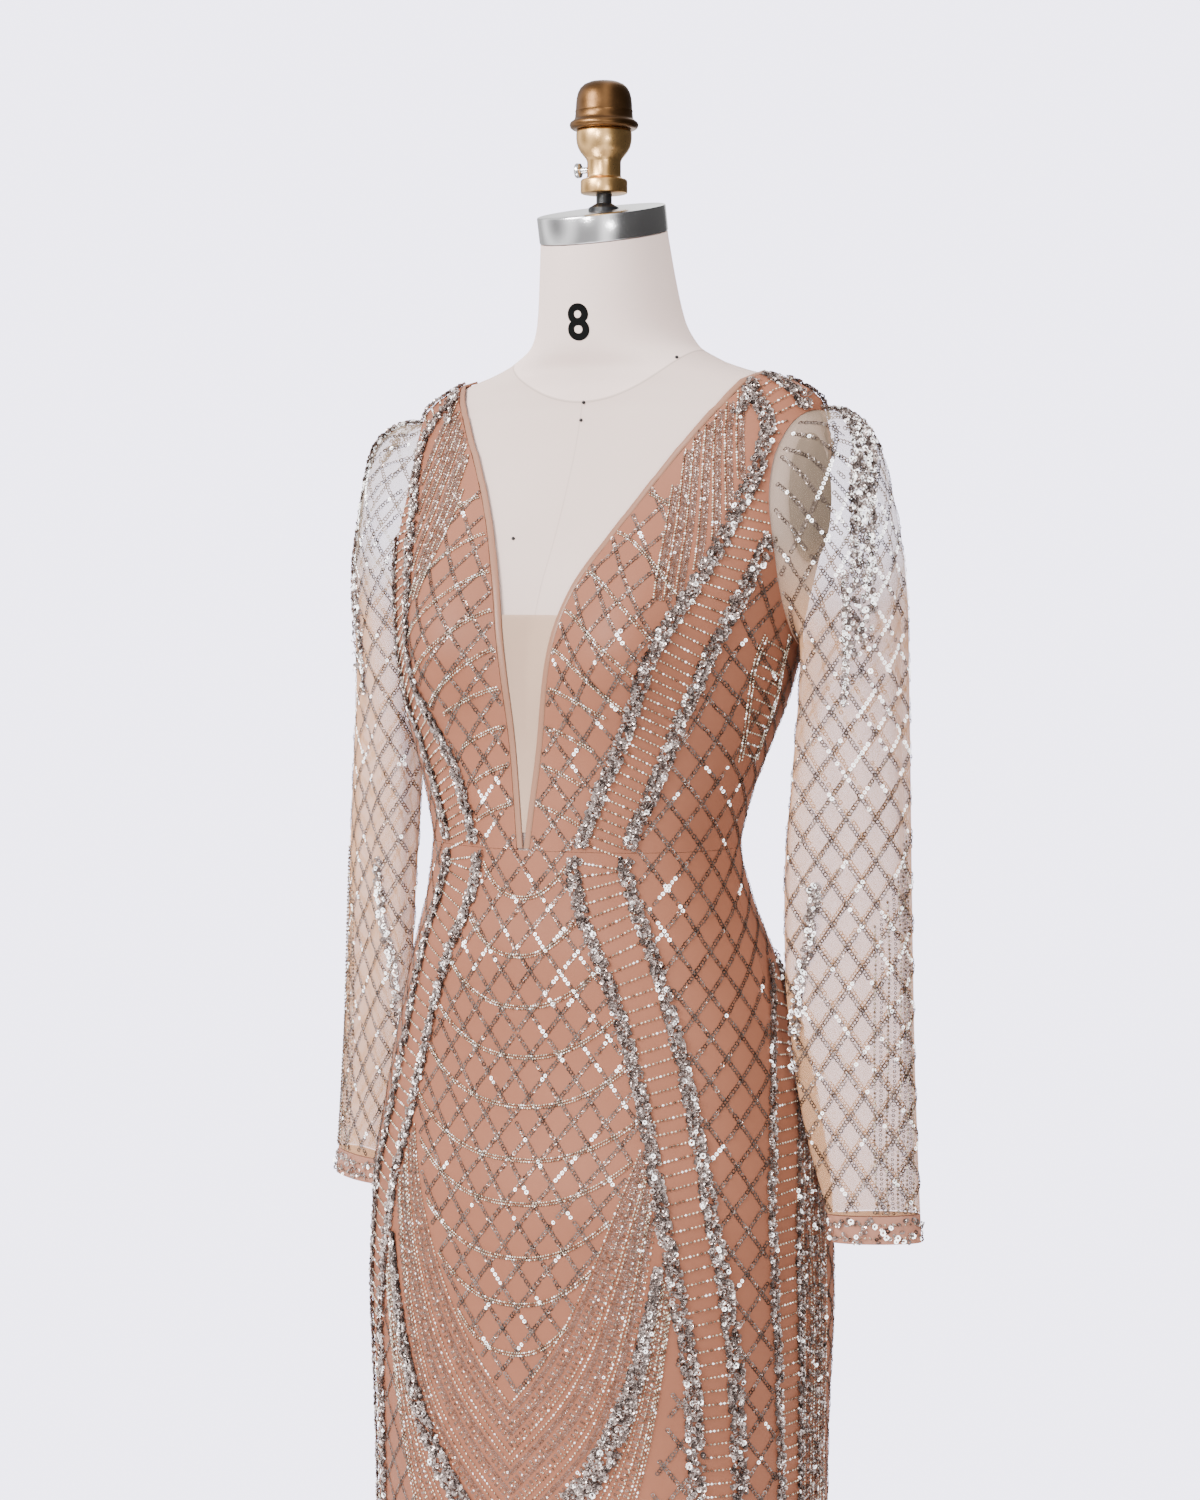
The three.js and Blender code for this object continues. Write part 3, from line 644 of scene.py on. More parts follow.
class Nodes:
    """Short hand for laying out one node tree."""

    def __init__(self, tree: bpy.types.NodeTree) -> None:
        """Clears the tree."""
        self.tree = tree
        tree.nodes.clear()

    def add(self, kind: str, settings: dict | None = None, **inputs: object) -> bpy.types.Node:
        """Adds a node.

        Args:
            kind: the node's type name.
            settings: its properties.
            inputs: socket values or source sockets, with spaces in names written as underscores, or i and a number.

        Returns:
            The node.
        """
        node = self.tree.nodes.new(kind)
        for name, value in (settings or {}).items():
            setattr(node, name, value)
        for name, value in inputs.items():
            by_number = name[0] == "i" and name[1:].isdigit()
            self._fill(node.inputs[int(name[1:]) if by_number else name.replace("_", " ")], value)
        return node

    def _fill(self, socket: Socket, value: object) -> None:
        """Links a socket to another or sets its value."""
        if isinstance(value, Socket):
            self.tree.links.new(value, socket)
        else:
            socket.default_value = value

    def coat(self, **inputs: object) -> bpy.types.Node:
        """A Principled shader on the material's surface."""
        shader = self.add("ShaderNodeBsdfPrincipled", **inputs)
        self.add("ShaderNodeOutputMaterial", Surface=shader.outputs[0])
        return shader

    def math(self, operation: str, a: object, b: object = 0.0) -> Socket:
        """A Math node's output for two sockets or numbers."""
        return self.add("ShaderNodeMath", {"operation": operation}, i0=a, i1=b).outputs[0]

    def mix(self, factor: object, a: object, b: object) -> Socket:
        """A colour between a and b."""
        node = self.add("ShaderNodeMix", {"data_type": "RGBA"})
        for number, value in ((0, factor), (6, a), (7, b)):
            self._fill(node.inputs[number], value)
        return node.outputs[2]

    def noise(self, place: object, scale: object, detail: float) -> Socket:
        """A noise texture's value."""
        return self.add("ShaderNodeTexNoise", Vector=place, Scale=scale, Detail=detail).outputs[0]

    def apart(self, vector: object) -> bpy.types.bpy_prop_collection:
        """A vector's x, y and z."""
        return self.add("ShaderNodeSeparateXYZ", i0=vector).outputs

    def span(self, value: object, low: float, high: float, to_low: float, to_high: float) -> Socket:
        """A value carried from one range to another, held at the ends."""
        return self.add(
            "ShaderNodeMapRange", {"clamp": True}, Value=value, From_Min=low, From_Max=high,
            To_Min=to_low, To_Max=to_high,
        ).outputs[0]


def full(colour: Colour) -> tuple[float, float, float, float]:
    """A colour with full alpha."""
    return (*colour, 1.0)


def new_material(name: str) -> tuple[Finish, Nodes]:
    """A material with an empty node tree."""
    made = bpy.data.materials.new(name)
    made.use_nodes = True
    return made, Nodes(made.node_tree)


class Effects:
    """Node groups that several finishes share."""

    def __init__(self) -> None:
        """Builds the groups once."""
        self.weave = self._weave()
        self.drift = self._drift()

    @staticmethod
    def _group(name: str, inputs: dict[str, tuple[str, float | None]], outputs: dict[str, str]) -> bpy.types.NodeTree:
        """An empty group with named sockets.

        Args:
            name: the group's name.
            inputs: socket name to its type and default.
            outputs: socket name to its type.

        Returns:
            The group.
        """
        group = bpy.data.node_groups.new(name, "ShaderNodeTree")
        for key, (kind, default) in inputs.items():
            socket = group.interface.new_socket(key, in_out="INPUT", socket_type=kind)
            if default is not None:
                socket.default_value = default
        for key, kind in outputs.items():
            group.interface.new_socket(key, in_out="OUTPUT", socket_type=kind)
        return group

    def _weave(self) -> bpy.types.NodeTree:
        """Crossing threads over a UV map in metres: Height for a bump, and Shade for the colour, which is painted shade
        between the threads plus random unevenness.
        """
        group = self._group(
            "thread_weave",
            {"UV": ("NodeSocketVector", None), "Threads": ("NodeSocketFloat", 900.0)},
            {"Height": "NodeSocketFloat", "Shade": "NodeSocketFloat"},
        )
        n = Nodes(group)
        given = n.add("NodeGroupInput")
        turn = n.math("MULTIPLY", given.outputs["Threads"], 2 * math.pi)
        warp, weft = (n.math("ABSOLUTE", n.math("SINE", n.math("MULTIPLY", along, turn)))
                      for along in n.apart(given.outputs["UV"])[:2])
        height = n.math("MAXIMUM", warp, weft)
        uneven = n.math("MULTIPLY", n.noise(given.outputs["UV"], 220.0, 2.0), 0.3)
        result = n.add("NodeGroupOutput")
        group.links.new(n.math("ADD", height, uneven), result.inputs["Height"])
        # Shade: painted shade between the threads, plus random unevenness.
        group.links.new(n.math("ADD", n.math("MULTIPLY", height, 0.6), uneven), result.inputs["Shade"])
        return group

    def _drift(self) -> bpy.types.NodeTree:
        """Slow and fine unevenness over Object coordinates: a mask from 0 to 1."""
        group = self._group(
            "surface_drift",
            {"Vector": ("NodeSocketVector", None), "Broad": ("NodeSocketFloat", 6.0),
             "Fine": ("NodeSocketFloat", 60.0)},
            {"Mask": "NodeSocketFloat", "Grain": "NodeSocketFloat"},
        )
        n = Nodes(group)
        given = n.add("NodeGroupInput")
        broad, fine = (n.noise(given.outputs["Vector"], given.outputs[key], detail)
                       for key, detail in (("Broad", 3.0), ("Fine", 4.0)))
        result = n.add("NodeGroupOutput")
        group.links.new(n.span(broad, 0.35, 0.65, 0.0, 1.0), result.inputs["Mask"])
        group.links.new(fine, result.inputs["Grain"])
        return group


@dataclass(frozen=True)
class ClothFinish:
    """A woven or knitted cloth; a see-through one has its own cover, which thins over the sleeve head, where the cloth
    also takes a painted shade.
    """

    name: str
    light: Colour
    deep: Colour
    threads: float = 900.0
    relief: float = 0.15
    roughness: float = 0.6
    gloss: float = 0.15
    alpha: tuple[float, float] = (1.0, 1.0)
    head: float = 1.0
    # Colour of the painted shade over the sleeve head.
    head_painted_shade: Colour = (0.34, 0.245, 0.175)
    neck: bool = False

    def build(self, effects: Effects) -> Finish:
        """Makes the material.

        Args:
            effects: the shared node groups.

        Returns:
            The material.
        """
        made, n = new_material(self.name)
        uv = n.add("ShaderNodeUVMap", {"uv_map": "cloth"})
        place = n.add("ShaderNodeTexCoord")
        weave = n.add("ShaderNodeGroup", {"node_tree": effects.weave}, UV=uv.outputs[0], Threads=self.threads)
        drift = n.add("ShaderNodeGroup", {"node_tree": effects.drift}, Vector=place.outputs["Object"])
        parts = (n.math("MULTIPLY", part, 0.45) for part in (weave.outputs["Shade"], drift.outputs["Mask"]))
        colour = n.mix(n.math("ADD", *parts), full(self.deep), full(self.light))
        if self.neck:
            colour = self._neck(n, place.outputs["Object"], colour)
        head = n.span(n.apart(place.outputs["Object"])[2], *HEAD_LEVELS, 0.0, 1.0)
        # Painted shade: the net's colour is darkened over the sleeve head.
        if self.head < 1.0:
            colour = n.mix(head, colour, full(self.head_painted_shade))
        bump = n.add("ShaderNodeBump", Strength=self.relief, Distance=0.0004, Height=weave.outputs["Height"])
        shader = n.coat(Base_Color=colour, Normal=bump.outputs[0], Roughness=self.roughness,
                        Specular_IOR_Level=self.gloss)
        if self.alpha[0] < 1.0:
            rim = n.add("ShaderNodeLayerWeight", Blend=0.5)
            cover = n.span(rim.outputs["Facing"], 0.0, 1.0, *self.alpha)
            thin = n.math("MULTIPLY", cover, n.span(head, 0.0, 1.0, 1.0, self.head))
            made.node_tree.links.new(thin, shader.inputs["Alpha"])
        return made

    @staticmethod
    def _neck(n: Nodes, place: Socket, colour: Socket) -> Socket:
        """Greys the form's chest a little below the neck piece and draws the seams between them.

        Args:
            n: the material's nodes.
            place: Object coordinates.
            colour: the cloth's colour.

        Returns:
            The new colour.
        """
        x, y, z = n.apart(place)[:3]
        bowl = n.math("ADD", n.math("MULTIPLY", y, 0.25), n.math("MULTIPLY", n.math("MULTIPLY", x, x), 4.5))
        level = n.math("SUBTRACT", n.math("SUBTRACT", z, bowl), NECK_PIECE)
        chest = n.mix(0.34, colour, full((0.34, 0.25, 0.21)))
        seam = n.span(n.math("ABSOLUTE", level), 0.0005, 0.0013, 0.4, 0.0)
        front = n.math("LESS_THAN", y, 0.0)
        line = n.span(n.math("ABSOLUTE", x), 0.0003, 0.0009, 0.22, 0.0)
        neck = n.math("GREATER_THAN", level, 0.0)
        made = n.mix(n.math("MULTIPLY", line, front), chest, full((0.2, 0.15, 0.12)))
        made = n.mix(neck, made, colour)
        return n.mix(seam, made, full((0.25, 0.19, 0.15)))


@dataclass(frozen=True)
class BeadFinish:
    """Sequins or glass beads whose brightness differs from one to the next; those of the top tone are painted glints,
    white and glowing.
    """

    name: str
    dark: Colour
    bright: Colour
    metallic: float = 0.75
    roughness: float = 0.2
    coat: float = 0.4
    # Emission strength of the painted glints.
    glow: float = 1.6

    def build(self) -> Finish:
        """Makes the material, which reads each bead's tone and paints the top tone as a white, glowing glint."""
        made, n = new_material(self.name)
        tone = n.add("ShaderNodeAttribute", {"attribute_name": "tone"}).outputs["Fac"]
        # Painted highlight: beads of the top tone are made white, not metallic, and glowing.
        glint = n.math("GREATER_THAN", tone, 0.95)
        white, black = full((1.0, 1.0, 1.0)), full((0.0, 0.0, 0.0))
        colour = n.mix(glint, n.mix(tone, full(self.dark), full(self.bright)), white)
        metal = n.span(glint, 0.0, 1.0, self.metallic, 0.0)
        rough = n.span(tone, 0.0, 1.0, self.roughness * 1.5, self.roughness * 0.7)
        n.coat(Base_Color=colour, Metallic=metal, Roughness=rough, Coat_Weight=self.coat, Coat_Roughness=0.05,
               Emission_Strength=self.glow, Emission_Color=n.mix(glint, black, white))
        return made


@dataclass(frozen=True)
class HardFinish:
    """Metal or paint with uneven polish and a little tarnish."""

    name: str
    light: Colour
    dark: Colour
    metallic: float
    roughness: float
    tarnish: float = 0.3
    brushed: float = 0.0
    gloss: float = 0.5

    def build(self, effects: Effects) -> Finish:
        """Makes the material.

        Args:
            effects: the shared node groups.

        Returns:
            The material.
        """
        made, n = new_material(self.name)
        place = n.add("ShaderNodeTexCoord")
        drift = n.add("ShaderNodeGroup", {"node_tree": effects.drift}, Vector=place.outputs["Object"], Broad=30.0,
                      Fine=900.0)
        stretched = n.add("ShaderNodeMapping", Vector=place.outputs["Object"], Scale=(1.0, 1.0, 60.0))
        lines = n.noise(stretched.outputs[0], 60.0, 3.0)
        stain = n.math("MULTIPLY", drift.outputs["Mask"], self.tarnish)
        colour = n.mix(stain, full(self.light), full(self.dark))
        rough = n.math("ADD", n.math("MULTIPLY", drift.outputs["Grain"], 0.16), self.roughness - 0.08)
        grain = n.math("MULTIPLY", drift.outputs["Grain"], 0.2)
        height = n.math("ADD", n.math("MULTIPLY", lines, self.brushed), grain)
        bump = n.add("ShaderNodeBump", Strength=0.12, Distance=0.0003, Height=height)
        n.coat(Base_Color=colour, Metallic=self.metallic, Roughness=rough, Normal=bump.outputs[0],
               Specular_IOR_Level=self.gloss)
        return made


class Wardrobe:
    """All finishes of the piece."""

    def __init__(self) -> None:
        """Builds every material once."""
        effects = Effects()
        cloths = {
            "lining": ClothFinish("blush_lining_under_net", (0.270, 0.104, 0.060), (0.200, 0.074, 0.042),
                                  threads=700.0, relief=0.12, roughness=0.5),
            "binding": ClothFinish("nude_satin_binding", (0.27, 0.135, 0.085), (0.22, 0.10, 0.06),
                                   threads=1100.0, relief=0.05, roughness=0.38, gloss=0.3),
            "cuff": ClothFinish("nude_satin_cuff", (0.36, 0.165, 0.11), (0.28, 0.12, 0.08),
                                threads=1100.0, relief=0.05, roughness=0.42, gloss=0.3),
            "insert": ClothFinish("beige_insert_mesh", (0.56, 0.38, 0.28), (0.45, 0.30, 0.21),
                                  threads=600.0, alpha=(0.62, 0.95)),
            "net": ClothFinish("ivory_sleeve_net", (0.62, 0.345, 0.19), (0.52, 0.28, 0.15), threads=500.0,
                               relief=0.1, roughness=0.55, gloss=0.1, alpha=(0.36, 0.70), head=0.5),
            "linen": ClothFinish("cream_form_linen", (0.80, 0.63, 0.575), (0.69, 0.54, 0.49),
                                 threads=620.0, relief=0.3, roughness=0.85, neck=True),
            # Near black: the arm plate's own dark colour, with the shade inside the sleeve painted in.
            "board": ClothFinish("arm_plate_linen", (0.030, 0.026, 0.025), (0.022, 0.019, 0.018),
                                 threads=620.0, relief=0.3, roughness=0.8),
        }
        metals = {
            "steel": HardFinish("brushed_cap_steel", (0.72, 0.71, 0.72), (0.52, 0.51, 0.52), 1.0, 0.20, brushed=1.0),
            "black": HardFinish("black_pole_paint", (0.008, 0.008, 0.009), (0.014, 0.014, 0.014), 0.2, 0.35),
            "brass": HardFinish("aged_brass", (0.78, 0.47, 0.19), (0.42, 0.23, 0.085), 1.0, 0.30, tarnish=0.5),
            "dark_brass": HardFinish("darkened_brass", (0.21, 0.105, 0.042), (0.075, 0.036, 0.014), 1.0, 0.36,
                                     tarnish=0.7),
            "iron": HardFinish("stand_iron_paint", (0.014, 0.014, 0.016), (0.024, 0.024, 0.026), 0.2, 0.5),
            "ink": HardFinish("black_print", (0.004, 0.004, 0.004), (0.006, 0.006, 0.006), 0.0, 0.9, gloss=0.05),
        }
        self.made = {key: finish.build(effects) for key, finish in (cloths | metals).items()}
        beads = {
            "sequin": BeadFinish("clear_lattice_sequins", (0.030, 0.017, 0.012), (0.34, 0.25, 0.215), 0.75, 0.26),
            "paillette": BeadFinish("silver_band_sequins", (0.045, 0.026, 0.020), (0.66, 0.54, 0.50), 0.8, 0.24),
            "glass": BeadFinish("silver_lined_beads", (0.10, 0.055, 0.032), (0.95, 0.82, 0.64), 0.45, 0.2, glow=0.5),
        }
        self.made |= {key: finish.build() for key, finish in beads.items()}

    def __getitem__(self, key: str) -> Finish:
        """A finish by its short name."""
        return self.made[key]


class Bead(Enum):
    """What is sewn on: each has its vertices and faces for a size of 1 mm across its half width."""

    FLAT = "flat sequin"
    HOOP = "clear sequin, of which the rim shows"
    SEQUIN = "cupped sequin with a hole"
    SEED = "seed bead"

    def shape(self) -> tuple[Array, list[tuple[int, ...]]]:
        """Vertices with x across, y along and z out, and the faces."""
        around = np.arange(6) * math.pi / 3
        ring = np.stack([np.cos(around), np.sin(around), np.zeros(6)], axis=1)
        if self is Bead.FLAT:
            return ring, [tuple(range(6))]
        if self is Bead.SEED:
            points = np.array([[1, 0, 0], [0, 1, 0], [-1, 0, 0], [0, -1, 0], [0, 0, 0.9], [0, 0, -0.9]], float)
            return points, [(i, (i + 1) % 4, 4) for i in range(4)] + [((i + 1) % 4, i, 5) for i in range(4)]
        hole, depth = (0.56, 0.1) if self is Bead.HOOP else (0.42, 0.22)
        inner = ring * hole - np.array([0, 0, depth])
        return np.vstack([ring, inner]), [(i, (i + 1) % 6, 6 + (i + 1) % 6, 6 + i) for i in range(6)]


@dataclass(frozen=True)
class Stitch:
    """How a row is sewn: spacing, a bead's half sizes, height off the cloth, lean, lines and random rise."""

    pitch: float
    size: tuple[float, float, float]
    lift: float
    tilt: float
    offsets: tuple[float, ...] = (0.0,)
    spread: float = 0.0


@dataclass(frozen=True)
class Heap:
    """How a dense band is heaped: its width, sequins to the millimetre, their half width and height off the cloth."""

    width: float | tuple[tuple[float, ...], tuple[float, ...]]
    density: float
    size: float = 2.3
    lift: float = 1.0

    def width_at(self, v: Array) -> Array:
        """The band's width along v."""
        return np.interp(v, *self.width) if isinstance(self.width, tuple) else np.full(v.shape, self.width)


@dataclass
class Beadwork:
    """Beads of one kind and finish that become one joined mesh."""

    name: str
    bead: Bead
    material: Finish
    seed: int
    shine: tuple[float, float] = (1.1, 1.1)
    # Share of beads painted as glints: they take the top tone, which the finish paints white and glowing.
    white: float = 0.0
    at: list[Array] = field(default_factory=list)
    axes: list[Array] = field(default_factory=list)
    sizes: list[Array] = field(default_factory=list)

    def __post_init__(self) -> None:
        """Starts the piece's own random numbers."""
        self.random = np.random.default_rng(self.seed)

    def sew(self, spots: Places, along: Array, stitch: Stitch, offset: float) -> None:
        """Adds beads.

        Args:
            spots: where they go.
            along: direction of the row at each spot.
            stitch: how they are sewn.
            offset: how far to the side of the row, in millimetres.
        """
        n = len(spots.at)
        rng = self.random
        sideways = unit(np.cross(along, spots.normal))
        lean = rng.normal(0, stitch.tilt, (n, 2))
        normal = unit(spots.normal + sideways * lean[:, :1] + along * lean[:, 1:])
        along = unit(along - normal * np.sum(along * normal, axis=1, keepdims=True))
        across = np.cross(along, normal)
        rise = stitch.lift + rng.random(n) * stitch.spread
        self.at.append(spots.at + sideways * offset + spots.normal * rise[:, None])
        self.axes.append(np.stack([across, along, normal], axis=1))
        self.sizes.append(np.array(stitch.size) * rng.uniform(0.9, 1.1, (n, 1)))

    def build(self) -> Piece:
        """Joins the beads into a mesh.

        Returns:
            The piece, dressed and riding on the gown.
        """
        shape, faces = self.bead.shape()
        at, axes, sizes = (np.concatenate(a) for a in (self.at, self.axes, self.sizes))
        count, corners = len(at), len(shape)
        points = at[:, None] + np.einsum("nkj,njc->nkc", shape[None] * sizes[:, None], axes)
        flat = np.array([i for face in faces for i in face])
        lengths = np.array([len(face) for face in faces])
        loops = (np.arange(count)[:, None] * corners + flat[None]).ravel()
        starts = np.concatenate([[0], np.cumsum(np.tile(lengths, count))[:-1]])
        piece = link_arrays(self.name, points.reshape(-1, 3), loops, starts)
        shades = self.random.beta(*self.shine, count) * 0.9
        # Painted glints: these beads take the top tone.
        shades[self.random.random(count) < self.white] = 1.0
        tone = np.repeat(shades, corners).astype(np.float32)
        piece.data.attributes.new("tone", "FLOAT", "POINT").data.foreach_set("value", tone)
        piece.data.materials.append(self.material)
        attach(piece, "root")
        LOG.info("%s: %d beads, %d triangles", self.name, count, int((lengths - 2).sum()) * count)
        return piece


@dataclass
class Sewing:
    """Ways of sewing beads along lines on one surface."""

    surface: ClothSurface
    mask: Mask

    def row(self, work: Beadwork, u: Array, v: Array, stitch: Stitch, keep: Mask | None = None) -> None:
        """One or more rows of beads side by side.

        Args:
            work: the beadwork to add to.
            u: first parameters of the line.
            v: second parameters of the line.
            stitch: how the row is sewn.
            keep: where beads go, besides the surface's own mask.
        """
        if len(u) < 2:
            return
        for number, offset in enumerate(stitch.offsets):
            su, sv, along = self.surface.stations(u, v, stitch.pitch, (number % 2) * stitch.pitch / 2)
            if not len(su):
                continue
            good = self.mask(su, sv)
            if keep is not None:
                good &= keep(su, sv)
            if good.any():
                work.sew(self.surface.places(su[good], sv[good]), along[good], stitch, offset)

    def band(self, work: Beadwork, u: Array, v: Array, heap: Heap, fade: Mask | None = None) -> None:
        """A dense heap of overlapping sequins along a line.

        Args:
            work: the beadwork to add to.
            u: first parameters of the line.
            v: second parameters of the line.
            heap: how the band is heaped.
            fade: share of sequins kept at u and v.
        """
        su, sv, along = self.surface.stations(u, v, 1.0 / heap.density)
        rng = work.random
        good = self.mask(su, sv)
        if fade is not None:
            good &= rng.random(len(su)) < fade(su, sv)
        su, sv, along = su[good], sv[good], along[good]
        if not len(su):
            return
        share = rng.uniform(-1, 1, len(su))
        offset = np.sign(share) * np.abs(share) ** 0.85 * 0.5 * heap.width_at(sv)
        turn = rng.uniform(0, math.pi, len(su))[:, None]
        spots = self.surface.places(su, sv)
        sideways = np.cross(along, spots.normal)
        mixed = along * np.cos(turn) + sideways * np.sin(turn)
        lean = rng.normal(0, 0.42, (len(su), 2))
        normal = unit(spots.normal + mixed * lean[:, :1] + np.cross(mixed, spots.normal) * lean[:, 1:])
        mixed = unit(mixed - normal * np.sum(mixed * normal, axis=1, keepdims=True))
        rise = heap.lift + 1.5 * rng.random(len(su))
        work.at.append(spots.at + sideways * offset[:, None] + spots.normal * rise[:, None])
        work.axes.append(np.stack([np.cross(mixed, normal), mixed, normal], axis=1))
        work.sizes.append(np.full(3, heap.size) * rng.uniform(0.75, 1.15, (len(su), 1)))


class GownCut:
    """Where the gown's panels end, as fields over turn and height that are positive on the cloth."""

    def __init__(self, surface: GownSurface) -> None:
        """Reads the neckline tables."""
        self.surface = surface
        self.neck_half = curve(NECKLINE, 1)
        self.back_neck = curve(BACK_NECKLINE, 1)

    def front_neck(self, turn: Array, z: Array, grow: float = 0.0) -> Array:
        """Distance outside the V, grown by some millimetres."""
        x = np.abs(self.surface.point(turn, z)[..., 0])
        rise = (self.neck_half(z + 1) - self.neck_half(z - 1)) / 2
        edge = self.neck_half(z) + grow * np.hypot(1, rise)
        return x - edge - np.maximum(z - NECK_SEAM, 0) * 2.0

    def rear_neck(self, turn: Array, z: Array, grow: float = 0.0) -> Array:
        """Distance below the back neckline."""
        x = np.abs(self.surface.point(turn, z)[..., 0])
        return self.back_neck(x) - grow - z

    def armhole(self, turn: Array, z: Array) -> Array:
        """Distance outside the armhole egg, roughly in millimetres."""
        p = self.surface.point(turn, z)
        v = (z - ARMHOLE_Z) / ARMHOLE_TALL
        u = (p[..., 1] - ARMHOLE_Y) / (ARMHOLE_DEEP * (1 - ARMHOLE_TAPER * np.clip(v, -1, 1)))
        return np.where(np.abs(p[..., 0]) > 110, (np.hypot(u, v) - 1) * 60, 60.0)

    def cloth(self, turn: Array, z: Array) -> Array:
        """Whether a bead sewn there has cloth under it."""
        front = np.cos(turn) >= 0
        neck = np.where(front, self.front_neck(turn, z, BEAD_MARGIN), self.rear_neck(turn, z, BEAD_MARGIN))
        neck = np.where(front & (z < WAIST_Z + 2), BEAD_MARGIN, neck)
        return (neck > 0) & (self.armhole(turn, z) > 1.5) & (z < NECK_SEAM - 4) & (z > HEM_Z + 3)


def dress(piece: Piece, material: Finish, slot: Slot, *nodes: str) -> None:
    """Gives a piece its material and its place in the frame.

    Args:
        piece: the finished piece.
        material: its finish.
        slot: the record's slot; not used.
        nodes: CAD nodes that it stands for.
    """
    piece.data.materials.clear()
    piece.data.materials.append(material)
    if nodes:
        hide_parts(*nodes)
    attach(piece, "root")
    LOG.info("%s: %d faces", piece.name, len(piece.data.polygons))


def lay_uv(piece: Piece, u: Array, v: Array) -> None:
    """Writes a UV map in metres for the weave, from one value a vertex in millimetres."""
    layer = piece.data.uv_layers.new(name="cloth")
    corner = np.zeros(len(piece.data.loops), np.int32)
    piece.data.loops.foreach_get("vertex_index", corner)
    layer.data.foreach_set("uv", (np.stack([u[corner], v[corner]], axis=1) * MM).astype(np.float32).ravel())


@dataclass
class Gown:
    """The gown's sewn panels."""

    surface: GownSurface
    cut: GownCut
    wardrobe: Wardrobe
    columns: int = 44
    wall: float = WALL

    def _panel(self, node: str, turns: tuple[float, float], heights: tuple[float, float], trims: Sequence[Mask]) -> None:
        """Cuts, thickens and dresses one panel.

        Args:
            node: the CAD node that it replaces, after which it is named.
            turns: first and last turn in radians.
            heights: lowest and highest height.
            trims: fields that trim it.
        """
        turns = (min(turns), max(turns))
        columns = max(2, round(self.columns * (turns[1] - turns[0]) / (math.pi / 2)))
        rows = max(2, round((heights[1] - heights[0]) / 9.0))
        patch = Patch.grid(np.linspace(*turns, columns + 1), np.linspace(*heights, rows + 1))
        for trim in trims:
            patch = patch.trimmed(trim)
        points = self.surface.point(patch.u, patch.v)
        piece = link_mesh(f"{node}_cloth", points, patch.faces)
        arc = self.surface.arc(patch.u, patch.v)
        lay_uv(piece, arc, patch.v)
        thicken(piece, self.wall)
        smooth(piece, 50)
        dress(piece, self.wardrobe["lining"], Slot.GOWN, node)

    def build(self) -> None:
        """Makes the bodice, skirt, bindings and insert."""
        gap = SEAM / 2 / 150
        quarter = math.pi / 2
        cut, edge = self.cut, BINDING_WIDE + SEAM
        bodice, skirt = (WAIST_Z + SEAM / 2, SHELL_TOP_Z), (HEM_Z, WAIST_Z - SEAM / 2)
        front_trims = [lambda u, v: cut.front_neck(u, v, edge), cut.armhole]
        back_trims = [lambda u, v: cut.rear_neck(u, v, edge), cut.armhole]
        for side in Side:
            sign, word = side.value, side.word
            front, back = (sign * gap, sign * (quarter - gap)), (sign * (quarter + gap), sign * (math.pi - gap))
            self._panel(f"bodice_front_{word}", front, bodice, front_trims)
            self._panel(f"bodice_back_{word}", back, bodice, back_trims)
            self._panel(f"skirt_back_{word}", back, skirt, [])
        self._panel("skirt_front", (-quarter + gap, quarter - gap), skirt, [])
        self._bindings()
        self._insert()

    def _fold(self, node: str, inner: tuple[Array, Array], outer: tuple[Array, Array]) -> None:
        """A folded satin edge swept along the neckline.

        Args:
            node: the CAD node that it replaces, after which it is named.
            inner: turns and heights of the free edge.
            outer: turns and heights of the sewn edge.
        """
        a, b = self.surface.places(*inner), self.surface.places(*outer)
        centre = (a.at + b.at) / 2
        half = (b.at - a.at) / 2
        normal = unit(a.normal + b.normal)
        around = np.radians(np.linspace(14, 346, 13))
        aside = np.sign(np.cos(around)) * np.abs(np.cos(around)) ** BINDING_ROUND
        proud = BINDING_PROUD * np.sin(around)
        rings = (centre[:, None] - normal[:, None] * 0.45 + half[:, None] * aside[None, :, None]
                 + normal[:, None] * proud[None, :, None])
        n, m = rings.shape[:2]
        patch = Patch.grid(np.arange(m), np.arange(n))
        points = rings.reshape(-1, 3)
        out = np.cross(rings[n // 2, 4] - rings[n // 2, 3], rings[n // 2 + 1, 3] - rings[n // 2, 3])
        faces = patch.faces if float(out @ normal[n // 2]) > 0 else [face[::-1] for face in patch.faces]
        piece = link_mesh(f"{node}_satin", points, faces)
        way = np.repeat(way_along(centre), m)
        lay_uv(piece, np.tile(np.arange(m) * 1.1, n), way)
        thicken(piece, BINDING_WALL)
        smooth(piece, 60)
        dress(piece, self.wardrobe["binding"], Slot.BINDING, node)

    def _bindings(self) -> None:
        """Folded edges of the front and back necklines."""
        surface = self.surface
        z = np.linspace(WAIST_Z + 1.5, NECK_SEAM - 0.5, 90)
        edge = self.cut.neck_half(z)
        rise = (self.cut.neck_half(z + 1) - self.cut.neck_half(z - 1)) / 2
        free, sewn = np.maximum(edge, 0.2), np.minimum(edge + BINDING_WIDE * np.hypot(1, rise), surface.half(z) - 0.2)
        x = np.linspace(0.3, 138, 40)
        top = self.cut.back_neck(x)
        foot = top - BINDING_WIDE
        for side in Side:
            sign = side.value
            self._fold(f"neck_binding_front_{side.word}",
                       (surface.turn_at_x(sign * free, z), z), (surface.turn_at_x(sign * sewn, z), z))
            self._fold(f"neck_binding_back_{side.word}", (surface.turn_at_x(sign * x, top, back=True), top),
                       (surface.turn_at_x(sign * x, foot, back=True), foot))

